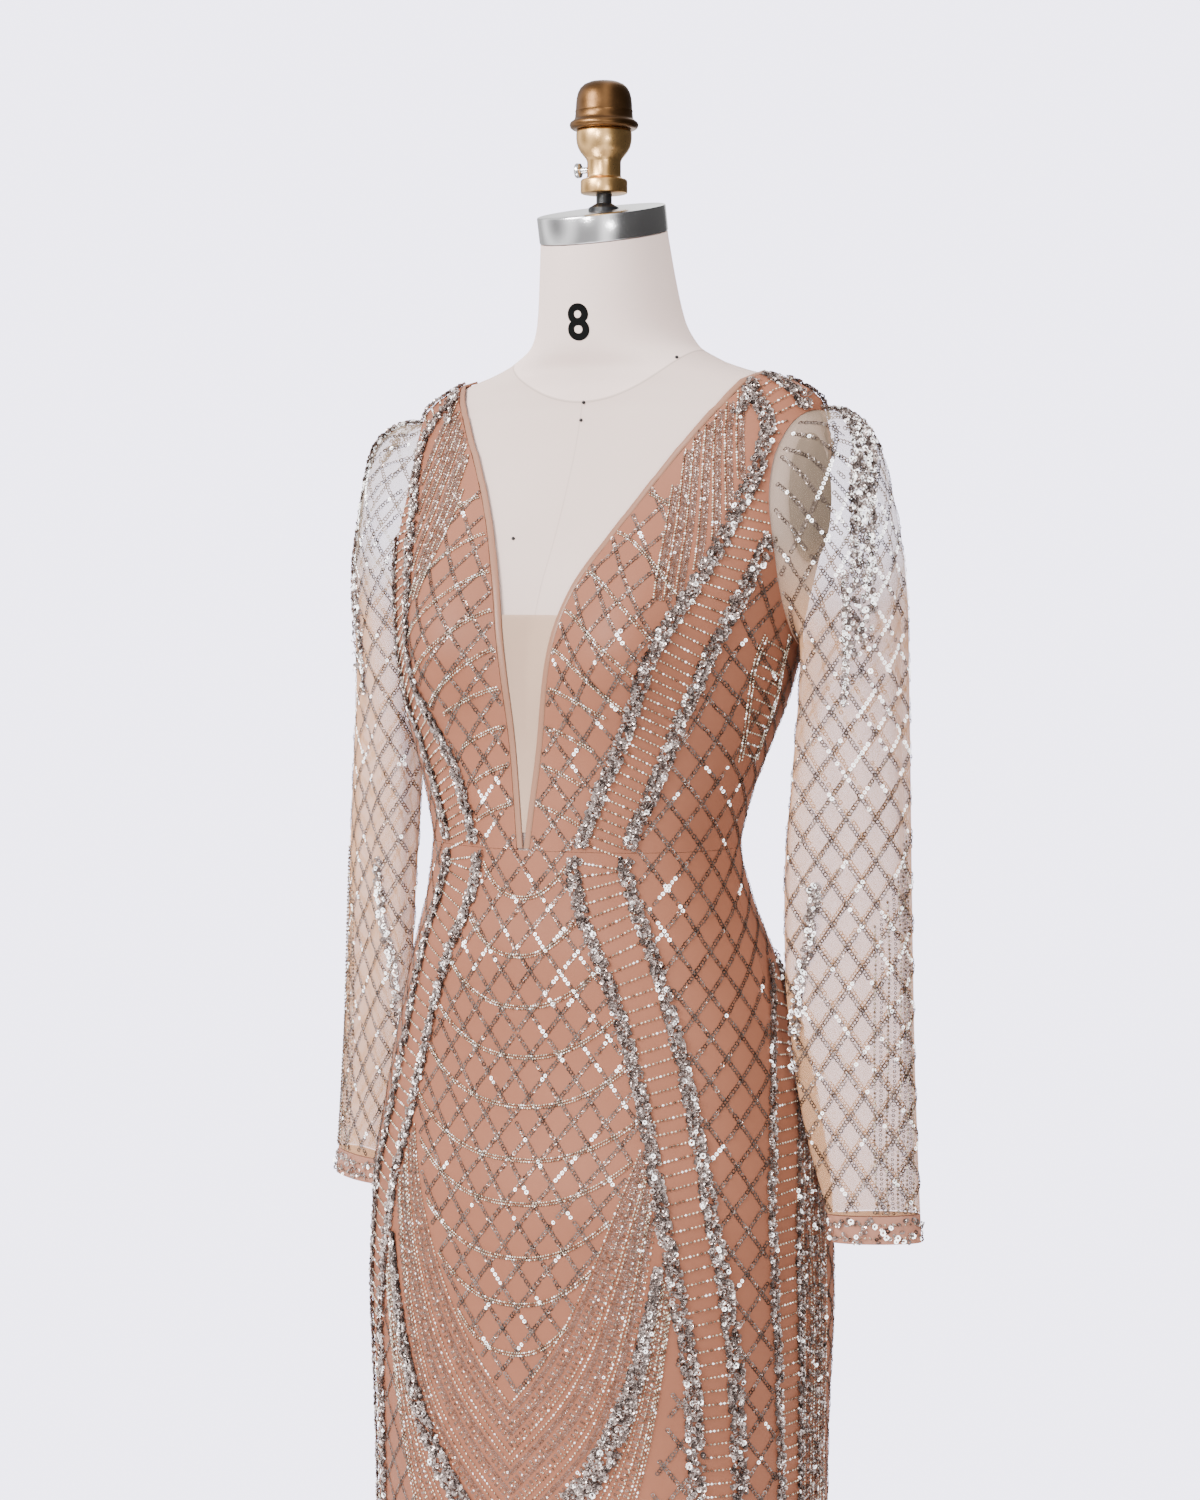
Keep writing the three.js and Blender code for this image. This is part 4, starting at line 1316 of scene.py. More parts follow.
    def _insert(self) -> None:
        """Sheer mesh that closes the foot of the V."""
        zs = np.linspace(INSERT_FOOT_Z, INSERT_TOP_Z, 40)
        shares = np.linspace(-1, 1, 13)
        uu, vv = np.meshgrid(shares, zs)
        patch = Patch.grid(shares, zs)
        x = uu * (self.cut.neck_half(vv) - SEAM)
        turn = self.surface.turn_at_x(x.ravel(), vv.ravel())
        points = self.surface.moved(turn, vv.ravel(), -MESH_DEEP)
        piece = link_mesh("neck_insert_mesh", points, patch.faces)
        lay_uv(piece, x.ravel(), vv.ravel())
        thicken(piece, MESH_WALL)
        smooth(piece, 50)
        dress(piece, self.wardrobe["insert"], Slot.INSERT, "neck_insert")


@dataclass
class Sleeve:
    """A net sleeve with its satin cuff."""

    surface: SleeveSurface
    side: Side
    wardrobe: Wardrobe

    def build(self) -> None:
        """Makes the sleeve and the cuff."""
        word = self.side.word
        self._tube(f"sleeve_{word}", "net", (0.0, SLEEVE_END), 66, NET_WALL, self.wardrobe["net"], Slot.SLEEVE)
        self._tube(f"cuff_{word}", "satin", (SLEEVE_END + 0.03, CUFF_END), 8, CUFF_WALL, self.wardrobe["cuff"],
                   Slot.CUFF)

    def _tube(self, node: str, cloth: str, rows: tuple[float, float], steps: int, wall: float,
              material: Finish, slot: Slot) -> None:
        """One length of the sleeve.

        Args:
            node: the CAD node that it replaces.
            cloth: what it is made of, for its name.
            rows: first and last ring number.
            steps: rows of faces.
            wall: thickness in millimetres.
            material: its finish.
            slot: the record's slot.
        """
        angles = np.linspace(0, 2 * math.pi, 72, endpoint=False)
        if self.side is Side.RIGHT:
            angles = angles[::-1]
        patch = Patch.grid(angles, np.linspace(rows[0], rows[1], steps + 1), closed=True)
        points = self.surface.point(patch.u, patch.v)
        piece = link_mesh(f"{node}_{cloth}", points, patch.faces)
        girth = float(np.mean(self.surface.girth(np.linspace(*rows, 5))))
        lay_uv(piece, patch.u / (2 * math.pi) * girth, points[:, 2])
        thicken(piece, wall)
        smooth(piece, 60)
        dress(piece, material, slot, node)
        wide = float(self.surface.girth(np.array([rows[0]]))[0]) * MM * 1.02
        line = self.surface.point(np.zeros(60), np.linspace(rows[0], rows[1], 60))


@dataclass(frozen=True)
class Fall:
    """A row that falls from the inner band to a point at the centre front."""

    tip: float
    gain: float
    lift: float
    power: float

    def height(self, arc: Array) -> Array:
        """Height at a distance from the centre front."""
        return self.tip + self.gain * arc + self.lift * (arc / 92.0) ** self.power

    def reach(self, z: Array) -> Array:
        """Distance from the centre front at a height; -1 below the point."""
        arc = np.linspace(0, 190, 381)
        return np.interp(z, self.height(arc), arc, left=-1.0)


NESTED = tuple(Fall(609 - 8.0 * i, 1.05 - 0.005 * i, 60 - 2.5 * i, 2.6 + 0.22 * i) for i in range(15))
KNEE_V = Fall(468, 1.15, 13.0, 6.0)
OUTER_ROWS = tuple(Fall(441 - 8.5 * i, 1.15 - 0.01 * i, 12.0, 6.0) for i in range(8))
BEAD, FINE = (1.1, 1.4, 1.0), (0.9, 1.2, 0.9)
TWIN_BEADS, TWIN_SEQUINS = (-1.0, 1.0), (-1.2, 1.2)
FRONT_LATTICE = Stitch(2.75, (2.0, 2.0, 2.0), 0.55, 0.14)
LIT_LATTICE = Stitch(4.0, (1.75, 1.75, 1.7), 0.9, 0.15)
REAR_LATTICE = Stitch(3.7, (1.9, 1.9, 1.0), 0.5, 0.16)
RUNG = Stitch(3.1, BEAD, 1.0, 0.05)
SIDE_RAIL = Stitch(2.3, BEAD, 0.9, 0.3, (-1.6, 1.6))
SHOULDER_BEADS = Stitch(2.5, BEAD, 0.9, 0.2)
SHOULDER_SEQUINS = Stitch(2.3, (1.25, 1.25, 1.2), 0.7, 0.2, TWIN_SEQUINS)
SIDE_SEQUINS = Stitch(3.2, (1.45, 1.45, 1.3), 0.7, 0.3)
SIDE_BEADS = Stitch(3.0, BEAD, 0.9, 0.15)
FALL_BEADS = Stitch(3.3, (1.0, 1.35, 1.0), 0.95, 0.1)
FALL_TWINS = Stitch(2.1, (0.95, 0.95, 0.9), 0.6, 0.15, (-1.1, 1.1))
FALL_SEQUINS = Stitch(4.6, (1.35, 1.35, 1.3), 0.7, 0.25)
FALL_EDGE = Stitch(4.6, FINE, 0.6, 0.1, (2.3,))
FESTOON = Stitch(2.5, FINE, 0.95, 0.15, TWIN_BEADS)
SWAG = Stitch(2.35, FINE, 0.95, 0.12, (-1.1, 1.1))
LONG_BAND = Heap(((500, 700, 900, 1300), (14.0, 12.5, 9.5, 11.5)), 2.3)
HIP_BAND = Heap(7.5, 1.7, 2.0)
KNEE_BAND = Heap(((570, 612, 700, 735), (20.0, 15.0, 7.0, 5.0)), 4.0)
OVER_BAND = Heap(11.5, 2.2)
SHOULDER_BAND = Heap(9.0, 2.0, 1.8)
SIDE_BAND = Heap(34.0, 2.6, 1.9)
# The sleeve's own, and the middle of its long band: ring number, then angle
SLEEVE_LATTICE = Stitch(2.85, (2.0, 2.0, 2.0), 0.5, 0.18)
SLEEVE_LIT = Stitch(4.0, (1.75, 1.75, 1.7), 0.8, 0.15)
FOREARM_SEQUINS = Stitch(3.9, (1.5, 1.5, 1.4), 0.9, 0.3)
FOREARM_BEADS = Stitch(3.4, (1.25, 1.5, 1.2), 1.0, 0.15)
CUFF_BEADS = Stitch(4.0, BEAD, 0.9, 0.1)
SLEEVE_BAND = Heap(((0.3, 2.0, 4.5, 6.4), (15.0, 22.0, 23.0, 24.0)), 8.0)
SLEEVE_BAND_PATH = ((0.3, 0.7, 1.6, 2.8, 3.7, 4.5, 5.2, 6.4), (0.0, 0.03, 0.14, 0.37, 0.66, 0.89, 1.06, 1.3))
SLEEVE_BAND_FADE = ((3.6, 5.0, 6.4), (1.0, 0.35, 0.06))
ELBOW_BAND = Heap(4.5, 1.6, 1.8)
HEAD_BAND = Heap(9.0, 1.8, 2.0)
FOREARM_BAND = Heap(9.0, 1.6)
CUFF_BAND = Heap(19.0, 0.8)
# Rows that hang from the neckline at the shoulder: distance round and height of their tops and feet
SHOULDER_TOPS = ((104, 1340), (108, 1369), (113, 1385), (121, 1391), (127, 1401), (134.5, 1407), (141, 1422))
SHOULDER_FEET = ((120, 1250), (128, 1250), (136, 1253), (143, 1272), (149, 1295), (153, 1320), (157, 1345))
# Short ladder under the arm: height, then distance round of each rail
ARM_LADDER = (((1120, 1156, 1192, 1225), (184, 193, 206, 219)), ((1110, 1136, 1180, 1215), (203, 212, 236, 247)))
# How far from the centre front the lattice and the curved rows reach beside them, and where that begins
LATTICE_EDGE = ((1250, 1281, 1309, 1338, 1352), (119, 112, 104, 97, 70))
FESTOON_EDGE = ((1250, 1281, 1309, 1338), (122, 114, 106, 99))
SHOULDER_FROM_Z = 1250.0
# The front's lattice stays clear of the bands, above the nested rows and below the outer ones
BAND_CLEAR, NEST_TOP_Z, OUTER_TOP_Z = 7.0, 850.0, 700.0
HIP_TOP_Z = 958.0
LEAN_TOP_Z, LEAN_TALL = 900.0, 250.0
LACED_FROM_Z, LACED_PAST_HIP = 962.0, 50.0
SWAG_LEVELS = (1012.0, 966.0, 925.0, 885.0, 846.0, 804.0, 770.0, 727.0, 690.0, 650.0)


class GownBeading:
    """Lattice, bands, ladders, swags and rows sewn on the bodice and skirt."""

    cell = (27.0, 33.5)
    lean = 7.0
    knee_reach = 131.0

    def __init__(self, surface: GownSurface, cut: GownCut, wardrobe: Wardrobe) -> None:
        """Prepares the beadwork pieces.

        Args:
            surface: the gown's outer face.
            cut: where the cloth ends.
            wardrobe: the finishes.
        """
        self.surface = surface
        self.cut = cut
        self.sewing = Sewing(surface, cut.cloth)
        sequin = wardrobe["sequin"]
        self.front = Beadwork("lattice_sequins_front", Bead.HOOP, sequin, 11, (1.0, 1.5))
        # Painted glints: every sequin of this piece takes the top tone, white and glowing.
        self.glints = Beadwork("lattice_glints", Bead.SEQUIN, sequin, 15, (1.0, 1.0), 1.0)
        self.rear = Beadwork("lattice_sequins_back", Bead.FLAT, sequin, 12, (1.0, 1.5), 0.004)
        self.bands = {
            side: Beadwork(f"band_sequins_{side.word}", Bead.SEQUIN, wardrobe["paillette"], 13 + side.value,
                           (1.0, 0.95), 0.035)
            for side in Side}
        self.beads = {
            side: Beadwork(f"gown_seed_beads_{side.word}", Bead.SEED, wardrobe["glass"], 17 + side.value,
                           (0.8, 0.7), 0.12)
            for side in Side}
        self.brown = Beadwork("small_brown_sequins", Bead.HOOP, sequin, 19, (1.2, 1.2), 0.01)
        self.inner, self.outer = curve(FRONT_BANDS, 1), curve(FRONT_BANDS, 2)
        self.hip_inner, self.hip_outer = curve(HIP_BANDS, 1), curve(HIP_BANDS, 2)

    def arc_of(self, degrees: MonotoneCurve, z: Array | float) -> Array:
        """Distance of a band's middle from the centre front, in millimetres."""
        level = np.atleast_1d(np.asarray(z, float))
        return self.surface.arc(np.radians(degrees(level)), level)

    def off_band(self, arc: Array, z: Array, degrees: MonotoneCurve) -> Array:
        """Signed distance from a band's middle, positive on its outer side."""
        return np.abs(arc) - self.arc_of(degrees, z)

    def open_cloth(self, turn: Array, z: Array) -> Array:
        """Where the front lattice shows: off the bands, ladders and rows."""
        arc = self.surface.arc(turn, z)
        inner = self.off_band(arc, z, self.inner)
        outer = self.off_band(arc, z, self.outer)
        middle = np.abs(arc - self.sway(z))
        inside = (inner < -BAND_CLEAR) & ((z > NEST_TOP_Z) | (middle < NESTED[0].reach(z) - 3.5))
        below = (inner < -BAND_CLEAR) & (z < OUTER_TOP_Z) & (middle > OUTER_ROWS[-1].reach(z) + 4.0)
        inside &= (z < SHOULDER_FROM_Z) | (np.abs(arc) < np.interp(z, *LATTICE_EDGE))
        beyond = (outer > BAND_CLEAR) & ((z > HIP_TOP_Z) | (self.off_band(arc, z, self.hip_inner) < -5.5))
        return inside | below | beyond

    def laced(self, turn: Array, z: Array) -> Array:
        """Where the front and back carry lattice."""
        off = self.off_band(self.surface.arc(turn, z), z, self.hip_outer)
        past = off > LACED_PAST_HIP
        front = self.open_cloth(turn, z) | (z < LACED_FROM_Z) & past
        return np.where(np.abs(turn) < 1.57, front, (z > LACED_FROM_Z) | past)

    def inside_band(self, turn: Array, z: Array) -> Array:
        """Where the cloth lies well inside the inner band."""
        return self.off_band(self.surface.arc(turn, z), z, self.inner) < -6

    def arc_turn(self, side: Side, arc: Array, z: Array) -> Array:
        """Turn at a distance from the centre front on one side."""
        return self.surface.turn_at_arc(side.value * arc, z)

    def sway(self, z: Array | float) -> Array:
        """How far the rows' middle lies beside the centre front at a height."""
        return self.lean * np.clip((LEAN_TOP_Z - z) / LEAN_TALL, 0, 1)

    def swayed_turn(self, side: Side, arc: Array, z: Array) -> Array:
        """Turn of a falling row, whose lean eases off towards the bands."""
        return self.surface.turn_at_arc(side.value * arc + self.lean * (1 - arc / self.knee_reach), z)

    def build(self) -> None:
        """Sews everything and joins it."""
        self._lattice()
        for side in Side:
            self._bands(side)
            self._ladders(side)
            self._shoulder_rows(side)
            self._side_rows(side)
            self._falls(side)
            self._festoons(side)
        self._swags()
        works = (self.front, self.glints, self.rear, *self.bands.values(), *self.beads.values(), self.brown)
        for work in works:
            work.build()

    @staticmethod
    def _front_side(turn: Array, z: Array) -> Array:
        """Where the fine lattice goes; the plainer one covers the back and the foot of the skirt."""
        return (np.abs(turn) < 1.9) & (z > 420)

    def _shining(self, luck: Array) -> Mask:
        """Which stretches of a chain catch the light, from one random number for each."""
        arc, level, wide, tall, most = np.array(GLINT_SPOTS).T

        def shines(u: Array, v: Array) -> Array:
            """Whether a stretch's number is below the share of lit ones at its place."""
            at = self.surface.arc(u, v)
            off = ((at[:, None] - arc) / wide) ** 2 + ((v[:, None] - level) / tall) ** 2
            share = 0.015 + np.max(most * np.exp(-off), axis=1)
            return luck[(v / 5.6).astype(int) % len(luck)] < share

        return shines

    def _lattice(self) -> None:
        """Diamonds of overlapping clear sequins, some of which are painted white and glowing where they catch the
        light.
        """
        wide, tall = self.cell
        z = np.arange(HEM_Z + 2, SHELL_TOP_Z, 3.0)
        span = self.surface.span(z)
        rng = np.random.default_rng(5)
        rows = int(SHELL_TOP_Z / tall)
        for sign in (1.0, -1.0):
            for slant in (1.0, -1.0):
                for number in range(-rows - 4 if slant > 0 else 0, rows + 36):
                    arc = wide * (number + slant * z / tall)
                    good = (arc >= 0) & (arc <= span)
                    if good.sum() < 3:
                        continue
                    turn = self.surface.turn_at_arc(sign * arc[good], z[good])
                    self._chain(turn, z[good], self._shining(rng.random(400)))

    def _chain(self, turn: Array, z: Array, shines: Mask) -> None:
        """One slanting chain of the lattice.

        Args:
            turn: turns of the chain.
            z: heights of the chain.
            shines: which sequins catch the light.
        """

        def plain(u: Array, v: Array) -> Array:
            """Unlit sequins of the front."""
            return self.laced(u, v) & self._front_side(u, v) & ~shines(u, v)

        def lit(u: Array, v: Array) -> Array:
            """Lit sequins of the front."""
            return self.laced(u, v) & self._front_side(u, v) & shines(u, v)

        def rear(u: Array, v: Array) -> Array:
            """Sequins of the back and the foot."""
            return self.laced(u, v) & ~self._front_side(u, v)

        self.sewing.row(self.front, turn, z, FRONT_LATTICE, plain)
        self.sewing.row(self.glints, turn, z, LIT_LATTICE, lit)
        self.sewing.row(self.rear, turn, z, REAR_LATTICE, rear)

    def _bands(self, side: Side) -> None:
        """Dense sequin bands: the long pair, the hip pair, the V over the knee, and the pair over the shoulder."""
        sign, work = float(side.value), self.bands[side]
        for low, high in ((HEM_Z + 4, WAIST_Z - 4), (WAIST_Z + 4, NECK_SEAM)):
            z = np.linspace(low, high, 200)
            for degrees in (self.inner, self.outer):
                self.sewing.band(work, sign * np.radians(degrees(z)), z, LONG_BAND)
        z = np.linspace(HEM_Z + 4, HIP_TOP_Z, 180)
        for degrees in (self.hip_inner, self.hip_outer):
            self.sewing.band(work, sign * np.radians(degrees(z)), z, HIP_BAND)
        arc = np.linspace(0.5, self.knee_reach, 90)
        z = KNEE_V.height(arc)
        self.sewing.band(work, self.swayed_turn(side, arc, z), z, KNEE_BAND)
        low, rise = 1330, 104
        over = np.linspace(1.0, 0.0, 30)
        for degrees in (77.0, 85.0):
            back = math.pi - math.radians(degrees)
            self.sewing.band(work, np.full(30, sign * back), low + rise * over, OVER_BAND,
                             lambda u, v: np.clip((v - low) / 60, 0, 1))

    def _rung(self, side: Side, rails: Sequence[Reach], z0: float, ends: tuple[float, float]) -> None:
        """One rung of beads, square to its bands.

        Args:
            side: which side of the gown.
            rails: distance of the inner and the outer band at a height.
            z0: height at the inner band.
            ends: how far the rung stays off each band's middle.
        """
        inner, outer = rails
        a, b = inner(z0) + ends[0], outer(z0) - ends[1]
        if b - a < 3:
            return
        slope = float(np.clip((inner(z0 + 8) - inner(z0 - 8)) / 16, -0.75, 0.95))
        arcs = np.linspace(a, b, 8)
        z = z0 - slope * (arcs - arcs[0])
        self.sewing.row(self.beads[side], self.arc_turn(side, arcs, z), z, RUNG)

    def _ladders(self, side: Side) -> None:
        """Short rungs of beads between each pair of bands, and the ladder with its own rails under the arm."""

        def along(degrees: MonotoneCurve) -> Reach:
            """A band's middle as a rail."""
            return lambda z: float(self.arc_of(degrees, z)[0])

        def rail(table: Sequence[Sequence[float]]) -> Reach:
            """A table's line as a rail."""
            return lambda z: float(np.interp(z, *table))

        front = (along(self.inner), along(self.outer))
        arm = tuple(rail(table) for table in ARM_LADDER)
        plans = (
            (front, np.arange(1056, 1425, 7.4), (6.0, 5.0)),
            (front, np.arange(HEM_Z + 10, 1046, 10.6), (6.5, 5.0)),
            ((along(self.hip_inner), along(self.hip_outer)), np.arange(HEM_Z + 10, 955, 9.8), (4.5, 3.0)),
            (arm, np.arange(1128, 1222, 9.0), (2.0, 2.0)),
        )
        for rails, heights, ends in plans:
            for z0 in heights:
                self._rung(side, rails, float(z0), ends)
        for line in arm:
            z = np.linspace(1122, 1222, 40)
            arc = np.array([line(float(h)) for h in z])
            self.sewing.row(self.beads[side], self.arc_turn(side, arc, z), z, SIDE_RAIL)

    def _shoulder_rows(self, side: Side) -> None:
        """Rows that hang from the neckline's edge at the shoulder down to the inner band."""
        share = np.linspace(0, 1, 40)
        for (top, high), (foot, low) in zip(SHOULDER_TOPS, SHOULDER_FEET):
            z = high + (low - high) * share
            arc = top + (foot - top) * share**1.3
            for near, work, stitch in ((0.0, self.brown, SHOULDER_SEQUINS), (-4.0, self.beads[side], SHOULDER_BEADS)):
                self.sewing.row(work, self.arc_turn(side, arc + near, z), z, stitch, self.inside_band)
        z = np.array([1398.0, 1430.0])
        self.sewing.band(self.bands[side], self.arc_turn(side, np.array([139.0, 146.0]), z), z, SHOULDER_BAND)

    def _side_rows(self, side: Side) -> None:
        """Upright rows over the side seam, beyond the hip bands."""
        z = np.linspace(HEM_Z + 6, HIP_TOP_Z, 160)
        edge = self.arc_of(self.hip_outer, z)
        self.sewing.band(self.bands[side], self.arc_turn(side, edge + 22.0, z), z, SIDE_BAND,
                         lambda u, v: np.clip((v + 90) / 450, 0, 1))
        for number in range(9):
            turn = self.arc_turn(side, edge + 6.0 + 4.9 * number, z)
            work, stitch = (self.brown, SIDE_SEQUINS) if number % 3 == 1 else (self.beads[side], SIDE_BEADS)
            self.sewing.row(work, turn, z, stitch)

    def _falls(self, side: Side) -> None:
        """Rows that fall from the inner band and meet in points at the centre front."""
        for group, top in ((NESTED, 842.0), (OUTER_ROWS, 725.0)):
            for number, fall in enumerate(group):
                z = np.linspace(fall.tip, top, 150)
                reach = fall.reach(z)
                good = reach < self.arc_of(self.inner, z) - 7.5
                if good.sum() < 3:
                    continue
                z, arc = z[good], reach[good]
                turn = self.swayed_turn(side, arc, z)
                if number % 6 in (0, 5) or group is OUTER_ROWS and number % 2:
                    self.sewing.row(self.beads[side], turn, z, FALL_BEADS)
                elif number % 2:
                    self.sewing.row(self.brown, turn, z, FALL_TWINS)
                else:
                    self.sewing.row(self.brown, turn, z, FALL_SEQUINS)
                    self.sewing.row(self.beads[side], turn, z, FALL_EDGE)

    def _festoons(self, side: Side) -> None:
        """Curved rows in the bodice, from the neckline's edge down and out to the inner band."""
        share = np.linspace(0, 1, 60)
        for number in range(10):
            top = 1334.0 - 31.0 * number
            start = float(self.cut.neck_half(np.array([top]))[0]) + 9
            drop = 0.74 if top > 1190 else 0.42
            end = float(self.arc_of(self.inner, max(top - 60, 1058.0))[0])
            arc = start + (end - start) * share
            z = top - drop * (end - start) * share**1.35
            good = (z > WAIST_Z + 5) & ((z < SHOULDER_FROM_Z) | (arc < np.interp(z, *FESTOON_EDGE)))
            if good.sum() < 3:
                continue
            turn = self.arc_turn(side, arc[good], z[good])
            self.sewing.row(self.beads[side], turn, z[good], FESTOON, self.inside_band)

    def _swags(self) -> None:
        """Hanging double rows across the front of the skirt."""
        for drop in SWAG_LEVELS:
            level = drop + 30.0
            reach = float(self.arc_of(self.inner, level)[0]) - 7
            if drop < 840:
                reach = min(reach, float(NESTED[0].reach(np.array([level]))[0]) - 2)
            arc = np.linspace(-reach, reach, 90)
            z = drop + (18 + 0.2 * reach) * (np.abs(arc) / reach) ** 2.3
            turn = self.surface.turn_at_arc(arc + self.sway(drop), z)
            for side in Side:
                self.sewing.row(self.beads[side], turn, z, SWAG, lambda u, v: u * side.value >= 0)


class SleeveBeading:
    """Lattice, the shoulder-to-elbow band, rows and cuff beads of one sleeve."""

    cell = (23.5, 34.0)

    def __init__(self, surface: SleeveSurface, side: Side, wardrobe: Wardrobe) -> None:
        """Prepares the beadwork pieces.

        Args:
            surface: the sleeve's outer face.
            side: which sleeve.
            wardrobe: the finishes.
        """
        self.surface = surface
        self.sewing = Sewing(surface, lambda u, v: (v > 0.15) & (v < CUFF_END - 0.05))
        seed, word, sequin = (31 if side is Side.LEFT else 41), side.word, wardrobe["sequin"]
        self.lattice = Beadwork(f"lattice_sequins_sleeve_{word}", Bead.HOOP, sequin, seed, (0.8, 2.0))
        # Painted glints: every sequin of this piece takes the top tone, white and glowing.
        self.glints = Beadwork(f"sleeve_glints_{word}", Bead.SEQUIN, sequin, seed + 3, (1.0, 1.0), 1.0)
        self.bands = Beadwork(f"sleeve_band_sequins_{word}", Bead.SEQUIN, wardrobe["paillette"], seed + 1,
                              (1.1, 0.95), 0.2)
        self.beads = Beadwork(f"sleeve_seed_beads_{word}", Bead.SEED, wardrobe["glass"], seed + 2, (0.4, 1.3))

    def build(self) -> None:
        """Sews everything and joins it."""
        self._lattice()
        self._bands()
        self._rows()
        for work in (self.lattice, self.glints, self.bands, self.beads):
            work.build()

    def _lattice(self) -> None:
        """Diamonds of overlapping clear sequins all round, laid out level by level."""
        wide, tall = self.cell
        numbers = np.arange(0.1, SLEEVE_END, 0.04)
        angles = np.linspace(0, math.pi, 91)
        levels = np.arange(1398.0, 740.0, -2.5)
        rng = np.random.default_rng(6)
        for sign in (1.0, -1.0):
            heights = self.surface.point(sign * angles[None, :], numbers[:, None])[..., 2]
            rings = np.stack([np.interp(-levels, -column, numbers, np.nan, np.nan) for column in heights.T], axis=1)
            arcs = way_along(self.surface.point(sign * angles[None, :], rings))
            for slant in (1.0, -1.0):
                for line in range(-24, 40):
                    places = [
                        self._cross(wide * (line + slant * (1400 - level) / tall), angles, arc, ring)
                        for level, arc, ring in zip(levels, arcs, rings)
                    ]
                    found = np.array([place for place in places if place is not None])
                    if len(found) > 6:
                        found[:, 0] *= sign
                        above, below = self._carried(found[0], found[5]), self._carried(found[-1], found[-6])
                        found = np.array([*above[::-1], *found, *below])
                        self._chain(found[:, 0], found[:, 1], rng.random(300))

    def _carried(self, end: Array, inner: Array) -> list[tuple[float, float]]:
        """Places that carry a chain straight on from its end over the sleeve head to the armhole.

        Args:
            end: angle and ring number of the chain's end.
            inner: the same a few places before the end.

        Returns:
            Angle and ring number of the added places.
        """
        u, v = end
        added: list[tuple[float, float]] = []
        if v > 4.0 or not 0.25 < abs(u) < 2.9:
            return added
        here = self.surface.point(u, v)
        way = unit(here - self.surface.point(*inner))
        while len(added) < 40:
            slope = np.stack([(self.surface.point(u + 0.01, v) - here) / 0.01,
                              (self.surface.point(u, v + 0.02) - here) / 0.02], axis=1)
            step = np.linalg.lstsq(slope, 2.5 * way, rcond=None)[0]
            u, v = u + step[0], v + step[1]
            if not 0.15 < v < 4.5 or not 0.2 < abs(u) < 2.95:
                break
            now = self.surface.point(u, v)
            way = unit(now - here)
            here = now
            added.append((u, v))
        return added

    @staticmethod
    def _cross(arc: float, angles: Array, arcs: Array, rings: Array) -> tuple[float, float] | None:
        """Angle and ring number at a distance round one level, if the cloth is there."""
        good = np.isfinite(arcs) & np.isfinite(rings)
        if arc < 0 or good.sum() < 2 or arc > arcs[good][-1]:
            return None
        angle = float(np.interp(arc, arcs[good], angles[good]))
        return angle, float(np.interp(angle, angles[good], rings[good]))

    def _chain(self, angle: Array, number: Array, luck: Array) -> None:
        """One slanting chain, of which some sequins catch the light.

        Args:
            angle: angles of the chain.
            number: ring numbers of the chain.
            luck: random numbers from 0 to 1, one for each length of the chain.
        """

        def shines(u: Array, v: Array) -> Array:
            """Whether a stretch is lit, most often at the elbow's outer side and behind it."""
            outer = np.exp(-(((u - 0.55) / 0.7) ** 2)) * np.exp(-(((v - 6.5) / 3.4) ** 2))
            back = np.exp(-(((u + 1.4) / 0.9) ** 2)) * np.exp(-(((v - 7.0) / 3.6) ** 2))
            return luck[(v / 0.085).astype(int) % len(luck)] < 0.07 + 0.42 * outer + 0.3 * back

        def clear(u: Array, v: Array) -> Array:
            """Where the long band leaves the net open."""
            middle = np.interp(v, *(row[2:7] for row in SLEEVE_BAND_PATH))
            return (np.abs(u - middle) > 0.28) | (v > SLEEVE_BAND_PATH[0][6])

        self.sewing.row(self.lattice, angle, number, SLEEVE_LATTICE, lambda u, v: clear(u, v) & ~shines(u, v))
        self.sewing.row(self.glints, angle, number, SLEEVE_LIT, lambda u, v: clear(u, v) & shines(u, v))

    def _bands(self) -> None:
        """The dense band from the shoulder to the elbow, the short ones beside it, and the one over the forearm."""
        plans = (
            (SLEEVE_BAND, 140, SLEEVE_BAND_PATH, SLEEVE_BAND_FADE),
            (ELBOW_BAND, 50, ((4.4, 5.2, 6.6), (1.22, 1.34, 1.5)), None),
            (HEAD_BAND, 50, ((0.4, 1.6, 3.0), (-0.2, -0.15, -0.05)), None),
            (FOREARM_BAND, 70, ((8.8, 9.0, 9.66, 10.26, 11.3), (2.05, 2.09, 2.22, 2.64, 3.0)),
             ((8.8, 10.2, 11.3), (1.0, 0.8, 0.3))),
        )
        for heap, steps, path, ends in plans:
            v = np.linspace(path[0][0], path[0][-1], steps)
            fade = (lambda u, n: np.interp(n, *ends)) if ends else None
            self.sewing.band(self.bands, np.interp(v, *path), v, heap, fade)

    def _rows(self) -> None:
        """Upright bead rows over the forearm and beads round the cuff."""
        for number in range(9):
            v = np.linspace(9.6 - 0.12 * number, 12.95, 90)
            start = 1.14 - 0.115 * number
            angle = np.interp(v, (10.0, 11.6, 12.75), (start, start + 0.14, start + 0.32))
            work, stitch = (self.lattice, FOREARM_SEQUINS) if number % 2 else (self.beads, FOREARM_BEADS)
            self.sewing.row(work, angle, v, stitch)
        angle = np.linspace(0.01, 2 * math.pi - 0.01, 120)
        for number in (13.25, 13.75):
            self.sewing.row(self.beads, angle, np.full(120, number), CUFF_BEADS)
        self.sewing.band(self.bands, angle, np.full(120, 13.45), CUFF_BAND)


